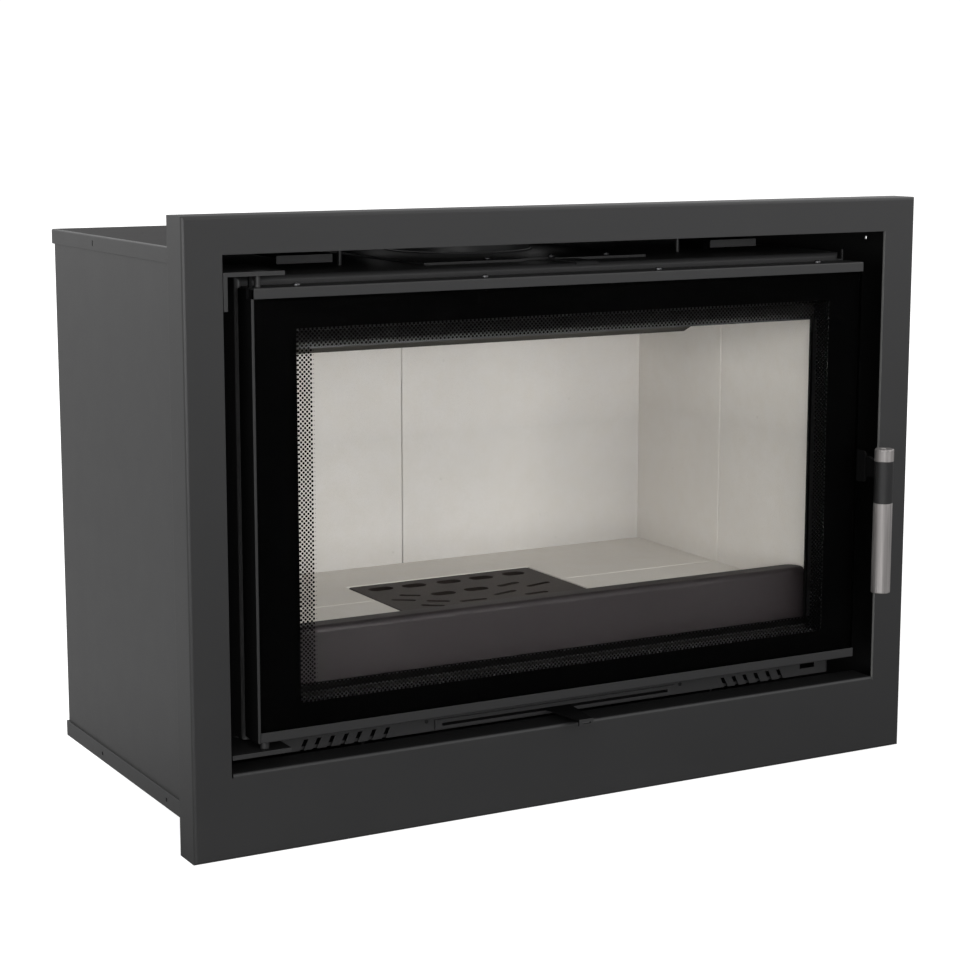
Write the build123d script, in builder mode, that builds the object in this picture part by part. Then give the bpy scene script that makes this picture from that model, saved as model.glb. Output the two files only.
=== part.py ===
from build123d import *
import os
import math

# ---------------------------------------------------------------------------
# Built-in fireplace insert: a welded firebox with an insulating lining, a
# glazed door hinged at the left, a lift lever at the right, a folded
# convection casing around it and a steel face frame in front.
#
# Axes: +X to the right as seen from the front, +Y to the back, +Z up.
# In this file a place is given by three drawing measures in millimetres:
#   x : from the middle plane
#   d : depth, from the corner line of the face frame towards the back
#   h : height above the bottom edge of the face frame
# The origin is the centre of the whole object's footprint, on the floor.
# ---------------------------------------------------------------------------

# ---- overall -------------------------------------------------------------
FRAME_W = 800.0            # outside width of the face frame
FRAME_H = 578.3            # outside height of the face frame
FRAME_T = 3.0              # sheet of the face frame
FRAME_FRONT = -3.17        # front face of the frame (its bend radius ahead of the corner line)
FRAME_REAR = 31.2          # rear edge of the frame's returns
FRAME_BEND = 3.0           # outside bend radius of the frame
OPEN_HALF = 362.7          # half width of the frame's opening
OPEN_BOTTOM = 79.4         # bottom edge of the opening
OPEN_TOP = 544.4           # top edge of the opening
LIP_DEPTH = 31.5           # depth of the folded lip at the bottom of the opening

HANDLE_FRONT = -51.25      # front of the handle bar: foremost point of the object
BOX_BACK = 399.0           # back of the firebox: rearmost point of the object
DEPTH_MID = (HANDLE_FRONT + BOX_BACK) / 2
FOOT_LIFT = 1.0            # the feet hold the frame this far off the floor

# ---- convection casing -----------------------------------------------------
CAS_T = 2.0
CAS_OUT = 400.0            # outside of lid flange and base skirt
CAS_SIDE = 398.0           # outside of the side panels
CAS_FRONT = 31.2
CAS_BACK = 340.8
CAS_FLANGE = 389.5         # inner edge of the side panels' front flanges
LID_TOP = 551.0
LID_FLANGE = 536.5
BASE_BOTTOM = 34.9
SKIRT_TOP = 51.3
FLUE_X, FLUE_D = 0.0, 240.0
LID_HOLE_R = 92.0

# ---- firebox ----------------------------------------------------------------
PL = 3.0                   # steel plate of the firebox
BOX_HALF = 334.5
BOX_FRONT = 35.0
BOX_BOTTOM = 79.7
BOX_TOP = 521.8
RIM_R = 5.0                # outside bend radius of the front plate's rim
RIM_REAR = 50.0
MOUTH_HALF = 301.0
MOUTH_BOTTOM = 141.5
MOUTH_TOP = 454.3
HEARTH_TOP = 141.5
PLENUM_TOP = 82.7

# ---- lining -------------------------------------------------------------------
SIDE_FACE = 308.5          # inner face of the side boards
BOARD_FRONT = 45.0
SIDE_SPLIT = 205.0
BACK_FACE = 368.0
BOARD_TOP = 505.0
FLOOR_TOP = 170.0
FLOOR_SPLIT = 212.0
BOARD_EDGE = 0.8           # broken edges of the boards

# ---- grate, pan, guard, baffle -------------------------------------------------
GRATE_HALF = 109.1
GRATE_D0, GRATE_D1 = 141.0, 282.0
GRATE_T = 10.0
PAN_HALF = 94.0
PAN_D0, PAN_D1 = 154.0, 268.0
PAN_TOP = 134.0
GUARD_HALF = 303.5
GUARD_TOP = 194.5
GUARD_REAR = 61.0
BAF_HALF = 307.5
BAF_D0, BAF_D1 = 262.0, 367.5
BAF_H0, BAF_H1 = 422.3, 447.3

# ---- door -----------------------------------------------------------------------
HINGE_X, HINGE_D = -325.5, 8.0
PIN_R = 2.9
PIN_BORE_R = 2.95
DOOR_HALF = 334.2
GLASS_D0, GLASS_D1 = -3.4, 0.6
GLASS_H0, GLASS_H1 = 106.0, 512.9
DF_OPEN_X = 296.0
DF_H0, DF_H1 = 134.0, 478.0
DF_REAR = 25.5
SCREW_X, SCREW_D = (-287.0, -96.0, 96.0, 287.0), 9.5
BRK_T = 4.2

# ---- handle ---------------------------------------------------------------------
BAR_X, BAR_D, BAR_R = 338.5, -41.5, 9.75
BAR_H0, BAR_H1, BAR_H2, BAR_H3 = 179.6, 272.5, 315.2, 328.0
LATCH_D, LATCH_H = -6.0, 306.0
BOLT_R = 4.0
BOLT_BORE_R = 4.05

# ---- flue -----------------------------------------------------------------------
COLLAR_R = 75.0
COLLAR_T = 2.0
COLLAR_TOP = 561.0
FPL_TOP = 524.3            # top of the flue plate

os.makedirs("parts", exist_ok=True)


def Y(d):
    return d - DEPTH_MID


def Z(h):
    return h + FOOT_LIFT


def P(x, d, h):
    return (x, Y(d), Z(h))


def block(x0, x1, d0, d1, h0, h1, mode=Mode.ADD):
    """Rectangular block between two corners, in drawing measures."""
    with Locations(P((x0 + x1) / 2, (d0 + d1) / 2, (h0 + h1) / 2)):
        Box(abs(x1 - x0), abs(d1 - d0), abs(h1 - h0), mode=mode)


def post(x, d, h0, h1, r, mode=Mode.ADD):
    """Upright round bar or hole."""
    with Locations(P(x, d, (h0 + h1) / 2)):
        Cylinder(r, abs(h1 - h0), mode=mode)


def rod_x(x0, x1, d, h, r, mode=Mode.ADD):
    """Round bar or hole along X."""
    with Locations(Location(P((x0 + x1) / 2, d, h), (0, 90, 0))):
        Cylinder(r, abs(x1 - x0), mode=mode)


def rod_y(x, d0, d1, h, r, mode=Mode.ADD):
    """Round bar or hole along Y."""
    with Locations(Location(P(x, (d0 + d1) / 2, h), (90, 0, 0))):
        Cylinder(r, abs(d1 - d0), mode=mode)


def near(lst, axis, value, tol=0.05):
    return [e for e in lst if abs(getattr(e.center(), axis) - value) < tol]


# ===========================================================================
# Face frame
# ===========================================================================
with BuildPart() as surround_frame:
    block(-FRAME_W / 2, FRAME_W / 2, FRAME_FRONT, FRAME_REAR, 0, FRAME_H)
    fillet(surround_frame.faces().sort_by(Axis.Y)[0].edges(), FRAME_BEND)
    # hollow back: the face keeps its sheet, and four returns run to the back
    block(-FRAME_W / 2 + FRAME_T, FRAME_W / 2 - FRAME_T, FRAME_FRONT + FRAME_T, FRAME_REAR,
          FRAME_T, FRAME_H - FRAME_T, mode=Mode.SUBTRACT)
    block(-OPEN_HALF, OPEN_HALF, FRAME_FRONT - 1, FRAME_FRONT + FRAME_T + 1, OPEN_BOTTOM, OPEN_TOP,
          mode=Mode.SUBTRACT)
    # lip folded back along the bottom of the opening, with a relief slit at each end
    block(-OPEN_HALF + 1.6, OPEN_HALF - 1.6, FRAME_FRONT + FRAME_T, FRAME_FRONT + LIP_DEPTH,
          OPEN_BOTTOM - FRAME_T, OPEN_BOTTOM)
    fillet([e for e in surround_frame.edges().filter_by(Axis.X)
            if abs(e.center().Z - Z(OPEN_BOTTOM)) < 0.05 and abs(e.center().Y - Y(FRAME_FRONT)) < 0.05], 2.9)
    for s in (-1, 1):
        block(s * (OPEN_HALF - 1.6), s * OPEN_HALF, FRAME_FRONT - 1, FRAME_FRONT + LIP_DEPTH,
              OPEN_BOTTOM - FRAME_T - 0.6, OPEN_BOTTOM + 1, mode=Mode.SUBTRACT)
surround_frame.part.label = "surround_frame"
export_step(surround_frame.part, "parts/surround_frame.step")

# Angle clips: one leg inside the frame's return, one on the casing's front flange
with BuildPart() as frame_brackets:
    for s in (-1, 1):
        for h in (150.0, 420.0):
            block(s * 395.0, s * 397.0, 6.0, FRAME_REAR, h, h + 40)
            block(s * CAS_FLANGE, s * 397.0, FRAME_REAR - 2.0, FRAME_REAR, h, h + 40)
            rod_y(s * 392.3, FRAME_REAR - 4.0, FRAME_REAR - 2.0, h + 20, 2.0)
frame_brackets.part.label = "frame_brackets"
export_step(frame_brackets.part, "parts/frame_brackets.step")

# ===========================================================================
# Convection casing
# ===========================================================================
SIDE_D1 = CAS_BACK - 2 * CAS_T
SIDE_H0, SIDE_H1 = BASE_BOTTOM + CAS_T, LID_TOP - CAS_T


def casing_side(s):
    block(s * (CAS_SIDE - CAS_T), s * CAS_SIDE, CAS_FRONT, SIDE_D1, SIDE_H0, SIDE_H1)
    block(s * CAS_FLANGE, s * (CAS_SIDE - CAS_T), CAS_FRONT, CAS_FRONT + CAS_T, SIDE_H0, SIDE_H1)
    block(s * 381.0, s * (CAS_SIDE - CAS_T), SIDE_D1 - CAS_T, SIDE_D1, SIDE_H0, SIDE_H1)


with BuildPart() as casing_left:
    casing_side(-1)
    rod_x(-410, -390, 234.7, 43.4, 2.0, mode=Mode.SUBTRACT)
    rod_x(-410, -390, 63.5, 43.4, 2.0, mode=Mode.SUBTRACT)
    # oval fixing hole, in line with the one in the lid's flange
    block(-410, -390, 221.7, 224.1, 541.4, 544.8, mode=Mode.SUBTRACT)
    for k in (-1, 1):
        rod_x(-410, -390, 222.9, 543.1 + k * 1.7, 1.2, mode=Mode.SUBTRACT)
casing_left.part.label = "casing_left"
export_step(casing_left.part, "parts/casing_left.step")

with BuildPart() as casing_right:
    casing_side(1)
    rod_x(390, 410, 234.7, 43.4, 2.0, mode=Mode.SUBTRACT)
    rod_x(390, 410, 63.5, 43.4, 2.0, mode=Mode.SUBTRACT)
    rod_x(390, 410, 70.5, 533.3, 2.0, mode=Mode.SUBTRACT)
casing_right.part.label = "casing_right"
export_step(casing_right.part, "parts/casing_right.step")

with BuildPart() as casing_back:
    block(-CAS_SIDE, CAS_SIDE, SIDE_D1, SIDE_D1 + CAS_T, SIDE_H0, SIDE_H1)
    # the firebox stands out through the back
    block(-337.0, 337.0, SIDE_D1 - 1, SIDE_D1 + CAS_T + 1, 77.0, 524.5, mode=Mode.SUBTRACT)
casing_back.part.label = "casing_back"
export_step(casing_back.part, "parts/casing_back.step")

with BuildPart() as casing_lid:
    block(-CAS_OUT, CAS_OUT, CAS_FRONT, CAS_BACK, LID_FLANGE, LID_TOP)
    fillet([e for e in casing_lid.faces().sort_by(Axis.Z)[-1].edges()
            if not (abs(e.center().Y - Y(CAS_FRONT)) < 0.05)], 1.6)
    block(-CAS_SIDE, CAS_SIDE, CAS_FRONT - 1, CAS_BACK - CAS_T, LID_FLANGE - 1, LID_TOP - CAS_T,
          mode=Mode.SUBTRACT)
    # flange turned up inside the face frame, which is screwed to it
    block(-FRAME_W / 2 + FRAME_T + 0.5, FRAME_W / 2 - FRAME_T - 0.5, CAS_FRONT - CAS_T, CAS_FRONT, LID_TOP - CAS_T,
          FRAME_H - FRAME_T)
    post(FLUE_X, FLUE_D, LID_TOP - 5, LID_TOP + 5, LID_HOLE_R, mode=Mode.SUBTRACT)
    post(-347.9, 228.2, LID_TOP - 5, LID_TOP + 5, 1.5, mode=Mode.SUBTRACT)
    # upright oval fixing hole in the left flange
    block(-CAS_OUT - 1, -CAS_SIDE + 0.01, 221.7, 224.1, 541.4, 544.8, mode=Mode.SUBTRACT)
    for s in (-1, 1):
        rod_x(-CAS_OUT - 1, -CAS_SIDE + 0.01, 222.9, 543.1 + s * 1.7, 1.2, mode=Mode.SUBTRACT)
casing_lid.part.label = "casing_lid"
export_step(casing_lid.part, "parts/casing_lid.step")

with BuildPart() as casing_base:
    block(-CAS_OUT, CAS_OUT, CAS_FRONT, CAS_BACK, BASE_BOTTOM, SKIRT_TOP)
    fillet([e for e in casing_base.faces().sort_by(Axis.Z)[0].edges()
            if not (abs(e.center().Y - Y(CAS_FRONT)) < 0.05)], 1.6)
    block(-CAS_SIDE, CAS_SIDE, CAS_FRONT - 1, CAS_BACK - CAS_T, BASE_BOTTOM + CAS_T, SKIRT_TOP + 1,
          mode=Mode.SUBTRACT)
    # flange turned down inside the face frame
    block(-FRAME_W / 2 + FRAME_T + 0.5, FRAME_W / 2 - FRAME_T - 0.5, CAS_FRONT - CAS_T, CAS_FRONT, FRAME_T,
          BASE_BOTTOM + CAS_T)
    for s in (-1, 1):
        for d in (63.5, 234.7):
            rod_x(s * 397.99, s * 402, d, 43.4, 2.0, mode=Mode.SUBTRACT)
casing_base.part.label = "casing_base"
export_step(casing_base.part, "parts/casing_base.step")

# Pan head screws in the rear flanges of lid and base
with BuildPart() as casing_screws:
    for x in (-330.0, -110.0, 110.0, 330.0):
        for h in (45.5, 542.0):
            rod_y(x, CAS_BACK, CAS_BACK + 2.2, h, 4.0)
casing_screws.part.label = "casing_screws"
export_step(casing_screws.part, "parts/casing_screws.step")

# Screw feet: disc, threaded rod and lock nut
with BuildPart() as levelling_feet:
    for x in (-300.0, 300.0):
        for d in (70.0, 290.0):
            post(x, d, -FOOT_LIFT, 5.0, 20.0)
            post(x, d, 5.0, BASE_BOTTOM, 5.0)
            with BuildSketch(Plane.XY.offset(Z(BASE_BOTTOM - 6.0))):
                with Locations((x, Y(d))):
                    RegularPolygon(9.8, 6)
            extrude(amount=6.0)
levelling_feet.part.label = "levelling_feet"
export_step(levelling_feet.part, "parts/levelling_feet.step")

# ===========================================================================
# Firebox
# ===========================================================================
SLOT_L = (-274.3, -260.8, -246.5, -232.3, -218.4, -203.5, -189.0)
SLOT_R = (200.5, 214.2, 227.7, 241.8, 256.6, 270.7)
SLOT_H0, SLOT_H1, SLOT_W, SLOT_LEAN = 79.7, 89.8, 4.5, 5.0

with BuildPart() as firebox_front:
    block(-BOX_HALF, BOX_HALF, BOX_FRONT, RIM_REAR, BOX_BOTTOM, BOX_TOP)
    fillet([e for e in firebox_front.faces().sort_by(Axis.Y)[0].edges()
            if e.center().Z > Z(BOX_BOTTOM) + 1], RIM_R)
    block(-BOX_HALF + PL, BOX_HALF - PL, BOX_FRONT + PL, RIM_REAR + 1, BOX_BOTTOM - 1, BOX_TOP - PL,
          mode=Mode.SUBTRACT)
    block(-MOUTH_HALF, MOUTH_HALF, BOX_FRONT - 1, BOX_FRONT + PL + 1, MOUTH_BOTTOM, MOUTH_TOP,
          mode=Mode.SUBTRACT)
    # corner cut away around the lower hinge, and slanting air slots along the bottom
    with BuildSketch(Plane.XZ.offset(-Y(BOX_FRONT - 1))):
        Polygon([(-BOX_HALF - 1, Z(98.0)), (-304.0, Z(98.0)), (-286.0, Z(BOX_BOTTOM - 0.5)),
                 (-BOX_HALF - 1, Z(BOX_BOTTOM - 0.5))], align=None)
    extrude(amount=-(RIM_REAR - BOX_FRONT + 2), mode=Mode.SUBTRACT)
    with BuildSketch(Plane.XZ.offset(-Y(BOX_FRONT - 1))):
        for xs, lean in [(x, SLOT_LEAN) for x in SLOT_L] + [(x, -SLOT_LEAN) for x in SLOT_R]:
            k = lean / 2
            Polygon([(xs - k - SLOT_W / 2, Z(SLOT_H0 - 0.5)), (xs - k + SLOT_W / 2, Z(SLOT_H0 - 0.5)),
                     (xs + k + SLOT_W / 2, Z(SLOT_H1)), (xs + k - SLOT_W / 2, Z(SLOT_H1))], align=None)
    extrude(amount=-(PL + 2), mode=Mode.SUBTRACT)
    block(296.7, 315.4, BOX_FRONT - 1, BOX_FRONT + PL + 1, 87.0, 92.0, mode=Mode.SUBTRACT)
    # slot for the air lever
    block(-130.5, 130.5, BOX_FRONT - 1, BOX_FRONT + PL + 1, 83.4, 87.0, mode=Mode.SUBTRACT)
    # plate thinned behind the air slots
    for x0, x1, h0, h1 in ((-283.0, -180.0, 79.0, 95.0), (192.0, 285.0, 79.0, 95.0), (290.0, 320.0, 85.0, 94.0)):
        block(x0, x1, BOX_FRONT + 1.2, BOX_FRONT + PL + 1, h0, h1, mode=Mode.SUBTRACT)
    # small angle tab at the upper right, its free leg upright
    block(BOX_HALF - 0.5, 344.0, 41.0, 43.0, 511.0, 514.5)
    block(342.4, 344.0, 41.0, 43.0, 514.5, 524.2)
firebox_front.part.label = "firebox_front"
export_step(firebox_front.part, "parts/firebox_front.step")

with BuildPart() as firebox_side_left:
    block(-BOX_HALF, -BOX_HALF + PL, RIM_REAR, BOX_BACK - PL, BOX_BOTTOM, BOX_TOP - PL)
    # slot that takes the end of the lower hinge bracket
    block(-BOX_HALF - 1, -BOX_HALF + PL + 1, RIM_REAR - 1, 62.0, 92.2, 92.2 + BRK_T, mode=Mode.SUBTRACT)
firebox_side_left.part.label = "firebox_side_left"
export_step(firebox_side_left.part, "parts/firebox_side_left.step")

with BuildPart() as firebox_side_right:
    block(BOX_HALF - PL, BOX_HALF, RIM_REAR, BOX_BACK - PL, BOX_BOTTOM, BOX_TOP - PL)
firebox_side_right.part.label = "firebox_side_right"
export_step(firebox_side_right.part, "parts/firebox_side_right.step")

with BuildPart() as firebox_back:
    block(-BOX_HALF, BOX_HALF, BOX_BACK - PL, BOX_BACK, BOX_BOTTOM, BOX_TOP)
firebox_back.part.label = "firebox_back"
export_step(firebox_back.part, "parts/firebox_back.step")

with BuildPart() as firebox_top:
    block(-BOX_HALF, BOX_HALF, RIM_REAR, BOX_BACK - PL, BOX_TOP - PL, BOX_TOP)
    post(FLUE_X, FLUE_D, BOX_TOP - 5, BOX_TOP + 5, COLLAR_R - COLLAR_T, mode=Mode.SUBTRACT)
firebox_top.part.label = "firebox_top"
export_step(firebox_top.part, "parts/firebox_top.step")

# Hearth plate: divides the fire chamber from the air plenum below
with BuildPart() as hearth_plate:
    block(-BOX_HALF + PL, BOX_HALF - PL, BOX_FRONT + PL, BOX_BACK - PL, HEARTH_TOP - PL, HEARTH_TOP)
    block(-98.0, 98.0, 150.0, 272.0, HEARTH_TOP - PL - 1, HEARTH_TOP + 1, mode=Mode.SUBTRACT)
hearth_plate.part.label = "hearth_plate"
export_step(hearth_plate.part, "parts/hearth_plate.step")

with BuildPart() as plenum_floor:
    block(-BOX_HALF + PL, BOX_HALF - PL, BOX_FRONT + PL, BOX_BACK - PL, BOX_BOTTOM, PLENUM_TOP)
    # combustion air inlets, covered more or less by the air slide
    for x in (-60.0, 60.0):
        block(x - 35, x + 35, 55.0, 85.0, BOX_BOTTOM - 1, PLENUM_TOP + 1, mode=Mode.SUBTRACT)
plenum_floor.part.label = "plenum_floor"
export_step(plenum_floor.part, "parts/plenum_floor.step")

# Two channels carry the firebox on the casing base
with BuildPart() as firebox_supports:
    for s in (-1, 1):
        block(s * 200.0, s * 240.0, 60.0, 330.0, BASE_BOTTOM + CAS_T, BASE_BOTTOM + CAS_T + 2.5)
        block(s * 200.0, s * 240.0, 60.0, 330.0, BOX_BOTTOM - 2.5, BOX_BOTTOM)
        block(s * 200.0, s * 202.5, 60.0, 330.0, BASE_BOTTOM + CAS_T, BOX_BOTTOM)
firebox_supports.part.label = "firebox_supports"
export_step(firebox_supports.part, "parts/firebox_supports.step")

# ===========================================================================
# Flue outlet, tabs and studs on the firebox top
# ===========================================================================
with BuildPart() as flue_plate:
    block(-124.5, 124.5, 76.0, 350.0, BOX_TOP, FPL_TOP)
    block(-14.0, 19.0, 70.0, 88.0, BOX_TOP - 1, FPL_TOP + 1, mode=Mode.SUBTRACT)
    # tongue at the front, bent down over the rounded edge of the firebox
    rod_x(19.0, 44.0, BOX_FRONT + RIM_R, BOX_TOP - RIM_R, RIM_R + FPL_TOP - 1.0 - BOX_TOP)
    rod_x(18.0, 45.0, BOX_FRONT + RIM_R, BOX_TOP - RIM_R, RIM_R + 0.1, mode=Mode.SUBTRACT)
    block(18.0, 45.0, 30.0, 50.0, BOX_TOP - 15.0, BOX_TOP - 1.5, mode=Mode.SUBTRACT)
    block(18.0, 45.0, BOX_FRONT + RIM_R, 50.0, BOX_TOP - 15.0, BOX_TOP, mode=Mode.SUBTRACT)
    block(19.0, 44.0, BOX_FRONT + RIM_R, 76.0, BOX_TOP, FPL_TOP - 1.0)
    post(FLUE_X, FLUE_D, BOX_TOP - 5, FPL_TOP + 5, COLLAR_R - COLLAR_T, mode=Mode.SUBTRACT)
flue_plate.part.label = "flue_plate"
export_step(flue_plate.part, "parts/flue_plate.step")

with BuildPart() as flue_collar:
    post(FLUE_X, FLUE_D, FPL_TOP, COLLAR_TOP, COLLAR_R)
    post(FLUE_X, FLUE_D, FPL_TOP - 1, COLLAR_TOP + 1, COLLAR_R - COLLAR_T, mode=Mode.SUBTRACT)
flue_collar.part.label = "flue_collar"
export_step(flue_collar.part, "parts/flue_collar.step")

with BuildPart() as flue_plate_screws:
    for x, d in ((-47.0, 92.0), (24.5, 92.0), (88.0, 92.0), (-112.0, 330.0), (112.0, 330.0)):
        post(x, d, FPL_TOP, FPL_TOP + 2.0, 3.2)
flue_plate_screws.part.label = "flue_plate_screws"
export_step(flue_plate_screws.part, "parts/flue_plate_screws.step")

# Sheet tabs: an upright lip, a horizontal leg under the lid and a rear leg down to the firebox
with BuildPart() as lid_brackets:
    for s in (-1, 1):
        block(s * 213.2, s * 269.9, 91.0, 93.0, 527.2, 534.9)
        block(s * 213.2, s * 269.9, 93.0, 150.0, 532.9, 534.9)
    block(-238.0, -213.2, 148.0, 150.0, BOX_TOP, 532.9)
    block(245.0, 269.9, 148.0, 150.0, BOX_TOP, 532.9)
lid_brackets.part.label = "lid_brackets"
export_step(lid_brackets.part, "parts/lid_brackets.step")

with BuildPart() as lid_studs:
    for s in (-1, 1):
        post(s * 192.0, 120.0, BOX_TOP, LID_TOP - CAS_T, 2.0)
lid_studs.part.label = "lid_studs"
export_step(lid_studs.part, "parts/lid_studs.step")

# ===========================================================================
# Smoke path
# ===========================================================================
with BuildPart() as upper_deflector:
    block(-300.0, 300.0, 70.0, 250.0, 478.0, 481.0)
    for s in (-1, 1):
        block(s * 240.0, s * 264.0, 247.0, 250.0, 481.0, BOX_TOP - PL)
        block(s * 240.0, s * 264.0, 80.0, 83.0, 481.0, BOX_TOP - PL)
upper_deflector.part.label = "upper_deflector"
export_step(upper_deflector.part, "parts/upper_deflector.step")

BPIN_D, BPIN_H, BPIN_R = 285.0, 434.5, 4.0
with BuildPart() as baffle:
    block(-BAF_HALF, BAF_HALF, BAF_D0, BAF_D1, BAF_H0, BAF_H1)
    with BuildSketch(Plane.XZ.offset(-Y(BAF_D0 - 1))):
        for s in (-1, 1):
            Polygon([(s * (BAF_HALF + 1), Z(BAF_H0 - 1)), (s * (BAF_HALF - 9.3), Z(BAF_H0 - 1)),
                     (s * (BAF_HALF - 9.3), Z(BAF_H0)), (s * BAF_HALF, Z(BAF_H0 + 4.7)),
                     (s * (BAF_HALF + 1), Z(BAF_H0 + 4.7))], align=None)
    extrude(amount=-(BAF_D1 - BAF_D0 + 2), mode=Mode.SUBTRACT)
    for s in (-1, 1):
        rod_x(s * (BAF_HALF - 12.0), s * (BAF_HALF + 1), BPIN_D, BPIN_H, BPIN_R + 0.3, mode=Mode.SUBTRACT)
baffle.part.label = "baffle"
export_step(baffle.part, "parts/baffle.step")

with BuildPart() as baffle_ledge:
    block(-300.0, 300.0, 345.0, BACK_FACE, BAF_H0 - 3.0, BAF_H0)
    block(-300.0, 300.0, BACK_FACE - 3.0, BACK_FACE, BAF_H0 - 10.0, BAF_H0)
    for x in (-220.0, -70.0, 70.0, 220.0):
        rod_y(x, BACK_FACE - 5.0, BACK_FACE - 3.0, BAF_H0 - 6.5, 2.6)
baffle_ledge.part.label = "baffle_ledge"
export_step(baffle_ledge.part, "parts/baffle_ledge.step")

with BuildPart() as baffle_pins:
    for s in (-1, 1):
        rod_x(s * (BAF_HALF - 11.0), s * (BOX_HALF - PL), BPIN_D, BPIN_H, BPIN_R)
baffle_pins.part.label = "baffle_pins"
export_step(baffle_pins.part, "parts/baffle_pins.step")

# ===========================================================================
# Lining boards
# ===========================================================================
SEAM = 0.3                 # half gap between neighbouring boards

with BuildPart() as lining_back_left:
    block(-BOX_HALF + PL, -SEAM, BACK_FACE, BOX_BACK - PL, HEARTH_TOP, BOARD_TOP)
    chamfer([e for e in lining_back_left.edges().filter_by(Axis.Z)
             if abs(e.center().X + SEAM) < 0.05 and abs(e.center().Y - Y(BACK_FACE)) < 0.05], BOARD_EDGE)
lining_back_left.part.label = "lining_back_left"
export_step(lining_back_left.part, "parts/lining_back_left.step")

with BuildPart() as lining_back_right:
    block(SEAM, BOX_HALF - PL, BACK_FACE, BOX_BACK - PL, HEARTH_TOP, BOARD_TOP)
    chamfer([e for e in lining_back_right.edges().filter_by(Axis.Z)
             if abs(e.center().X - SEAM) < 0.05 and abs(e.center().Y - Y(BACK_FACE)) < 0.05], BOARD_EDGE)
lining_back_right.part.label = "lining_back_right"
export_step(lining_back_right.part, "parts/lining_back_right.step")

with BuildPart() as lining_side_left_front:
    block(-BOX_HALF + PL, -SIDE_FACE, BOARD_FRONT, SIDE_SPLIT - SEAM, HEARTH_TOP, BOARD_TOP)
    chamfer([e for e in lining_side_left_front.edges().filter_by(Axis.Z)
             if abs(e.center().X + SIDE_FACE) < 0.05], BOARD_EDGE)
lining_side_left_front.part.label = "lining_side_left_front"
export_step(lining_side_left_front.part, "parts/lining_side_left_front.step")

with BuildPart() as lining_side_left_rear:
    block(-BOX_HALF + PL, -SIDE_FACE, SIDE_SPLIT + SEAM, BACK_FACE, HEARTH_TOP, BOARD_TOP)
    chamfer([e for e in lining_side_left_rear.edges().filter_by(Axis.Z)
             if abs(e.center().X + SIDE_FACE) < 0.05 and e.center().Y < Y(SIDE_SPLIT + 5)], BOARD_EDGE)
    rod_x(-BOX_HALF, -SIDE_FACE + 1, BPIN_D, BPIN_H, BPIN_R, mode=Mode.SUBTRACT)
lining_side_left_rear.part.label = "lining_side_left_rear"
export_step(lining_side_left_rear.part, "parts/lining_side_left_rear.step")

with BuildPart() as lining_side_right_front:
    block(SIDE_FACE, BOX_HALF - PL, BOARD_FRONT, SIDE_SPLIT - SEAM, HEARTH_TOP, BOARD_TOP)
    chamfer([e for e in lining_side_right_front.edges().filter_by(Axis.Z)
             if abs(e.center().X - SIDE_FACE) < 0.05], BOARD_EDGE)
lining_side_right_front.part.label = "lining_side_right_front"
export_step(lining_side_right_front.part, "parts/lining_side_right_front.step")

with BuildPart() as lining_side_right_rear:
    block(SIDE_FACE, BOX_HALF - PL, SIDE_SPLIT + SEAM, BACK_FACE, HEARTH_TOP, BOARD_TOP)
    chamfer([e for e in lining_side_right_rear.edges().filter_by(Axis.Z)
             if abs(e.center().X - SIDE_FACE) < 0.05 and e.center().Y < Y(SIDE_SPLIT + 5)], BOARD_EDGE)
    rod_x(SIDE_FACE - 1, BOX_HALF, BPIN_D, BPIN_H, BPIN_R, mode=Mode.SUBTRACT)
lining_side_right_rear.part.label = "lining_side_right_rear"
export_step(lining_side_right_rear.part, "parts/lining_side_right_rear.step")

NOTCH_HALF, NOTCH_D0, NOTCH_D1 = 111.0, 139.0, 284.0
with BuildPart() as floor_board_front:
    block(-SIDE_FACE, SIDE_FACE, BOARD_FRONT, FLOOR_SPLIT - SEAM, HEARTH_TOP, FLOOR_TOP)
    block(-NOTCH_HALF, NOTCH_HALF, NOTCH_D0, FLOOR_SPLIT + 1, HEARTH_TOP - 1, FLOOR_TOP + 1, mode=Mode.SUBTRACT)
    chamfer([e for e in floor_board_front.faces().sort_by(Axis.Z)[-1].edges()
             if abs(e.center().Y - Y(FLOOR_SPLIT - SEAM)) < 0.05 or abs(e.center().Y - Y(NOTCH_D0)) < 0.05], BOARD_EDGE)
floor_board_front.part.label = "floor_board_front"
export_step(floor_board_front.part, "parts/floor_board_front.step")

with BuildPart() as floor_board_rear:
    block(-SIDE_FACE, SIDE_FACE, FLOOR_SPLIT + SEAM, BACK_FACE, HEARTH_TOP, FLOOR_TOP)
    block(-NOTCH_HALF, NOTCH_HALF, FLOOR_SPLIT - 1, NOTCH_D1, HEARTH_TOP - 1, FLOOR_TOP + 1, mode=Mode.SUBTRACT)
    chamfer([e for e in floor_board_rear.faces().sort_by(Axis.Z)[-1].edges()
             if abs(e.center().Y - Y(FLOOR_SPLIT + SEAM)) < 0.05 or abs(e.center().Y - Y(NOTCH_D1)) < 0.05], BOARD_EDGE)
floor_board_rear.part.label = "floor_board_rear"
export_step(floor_board_rear.part, "parts/floor_board_rear.step")

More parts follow.
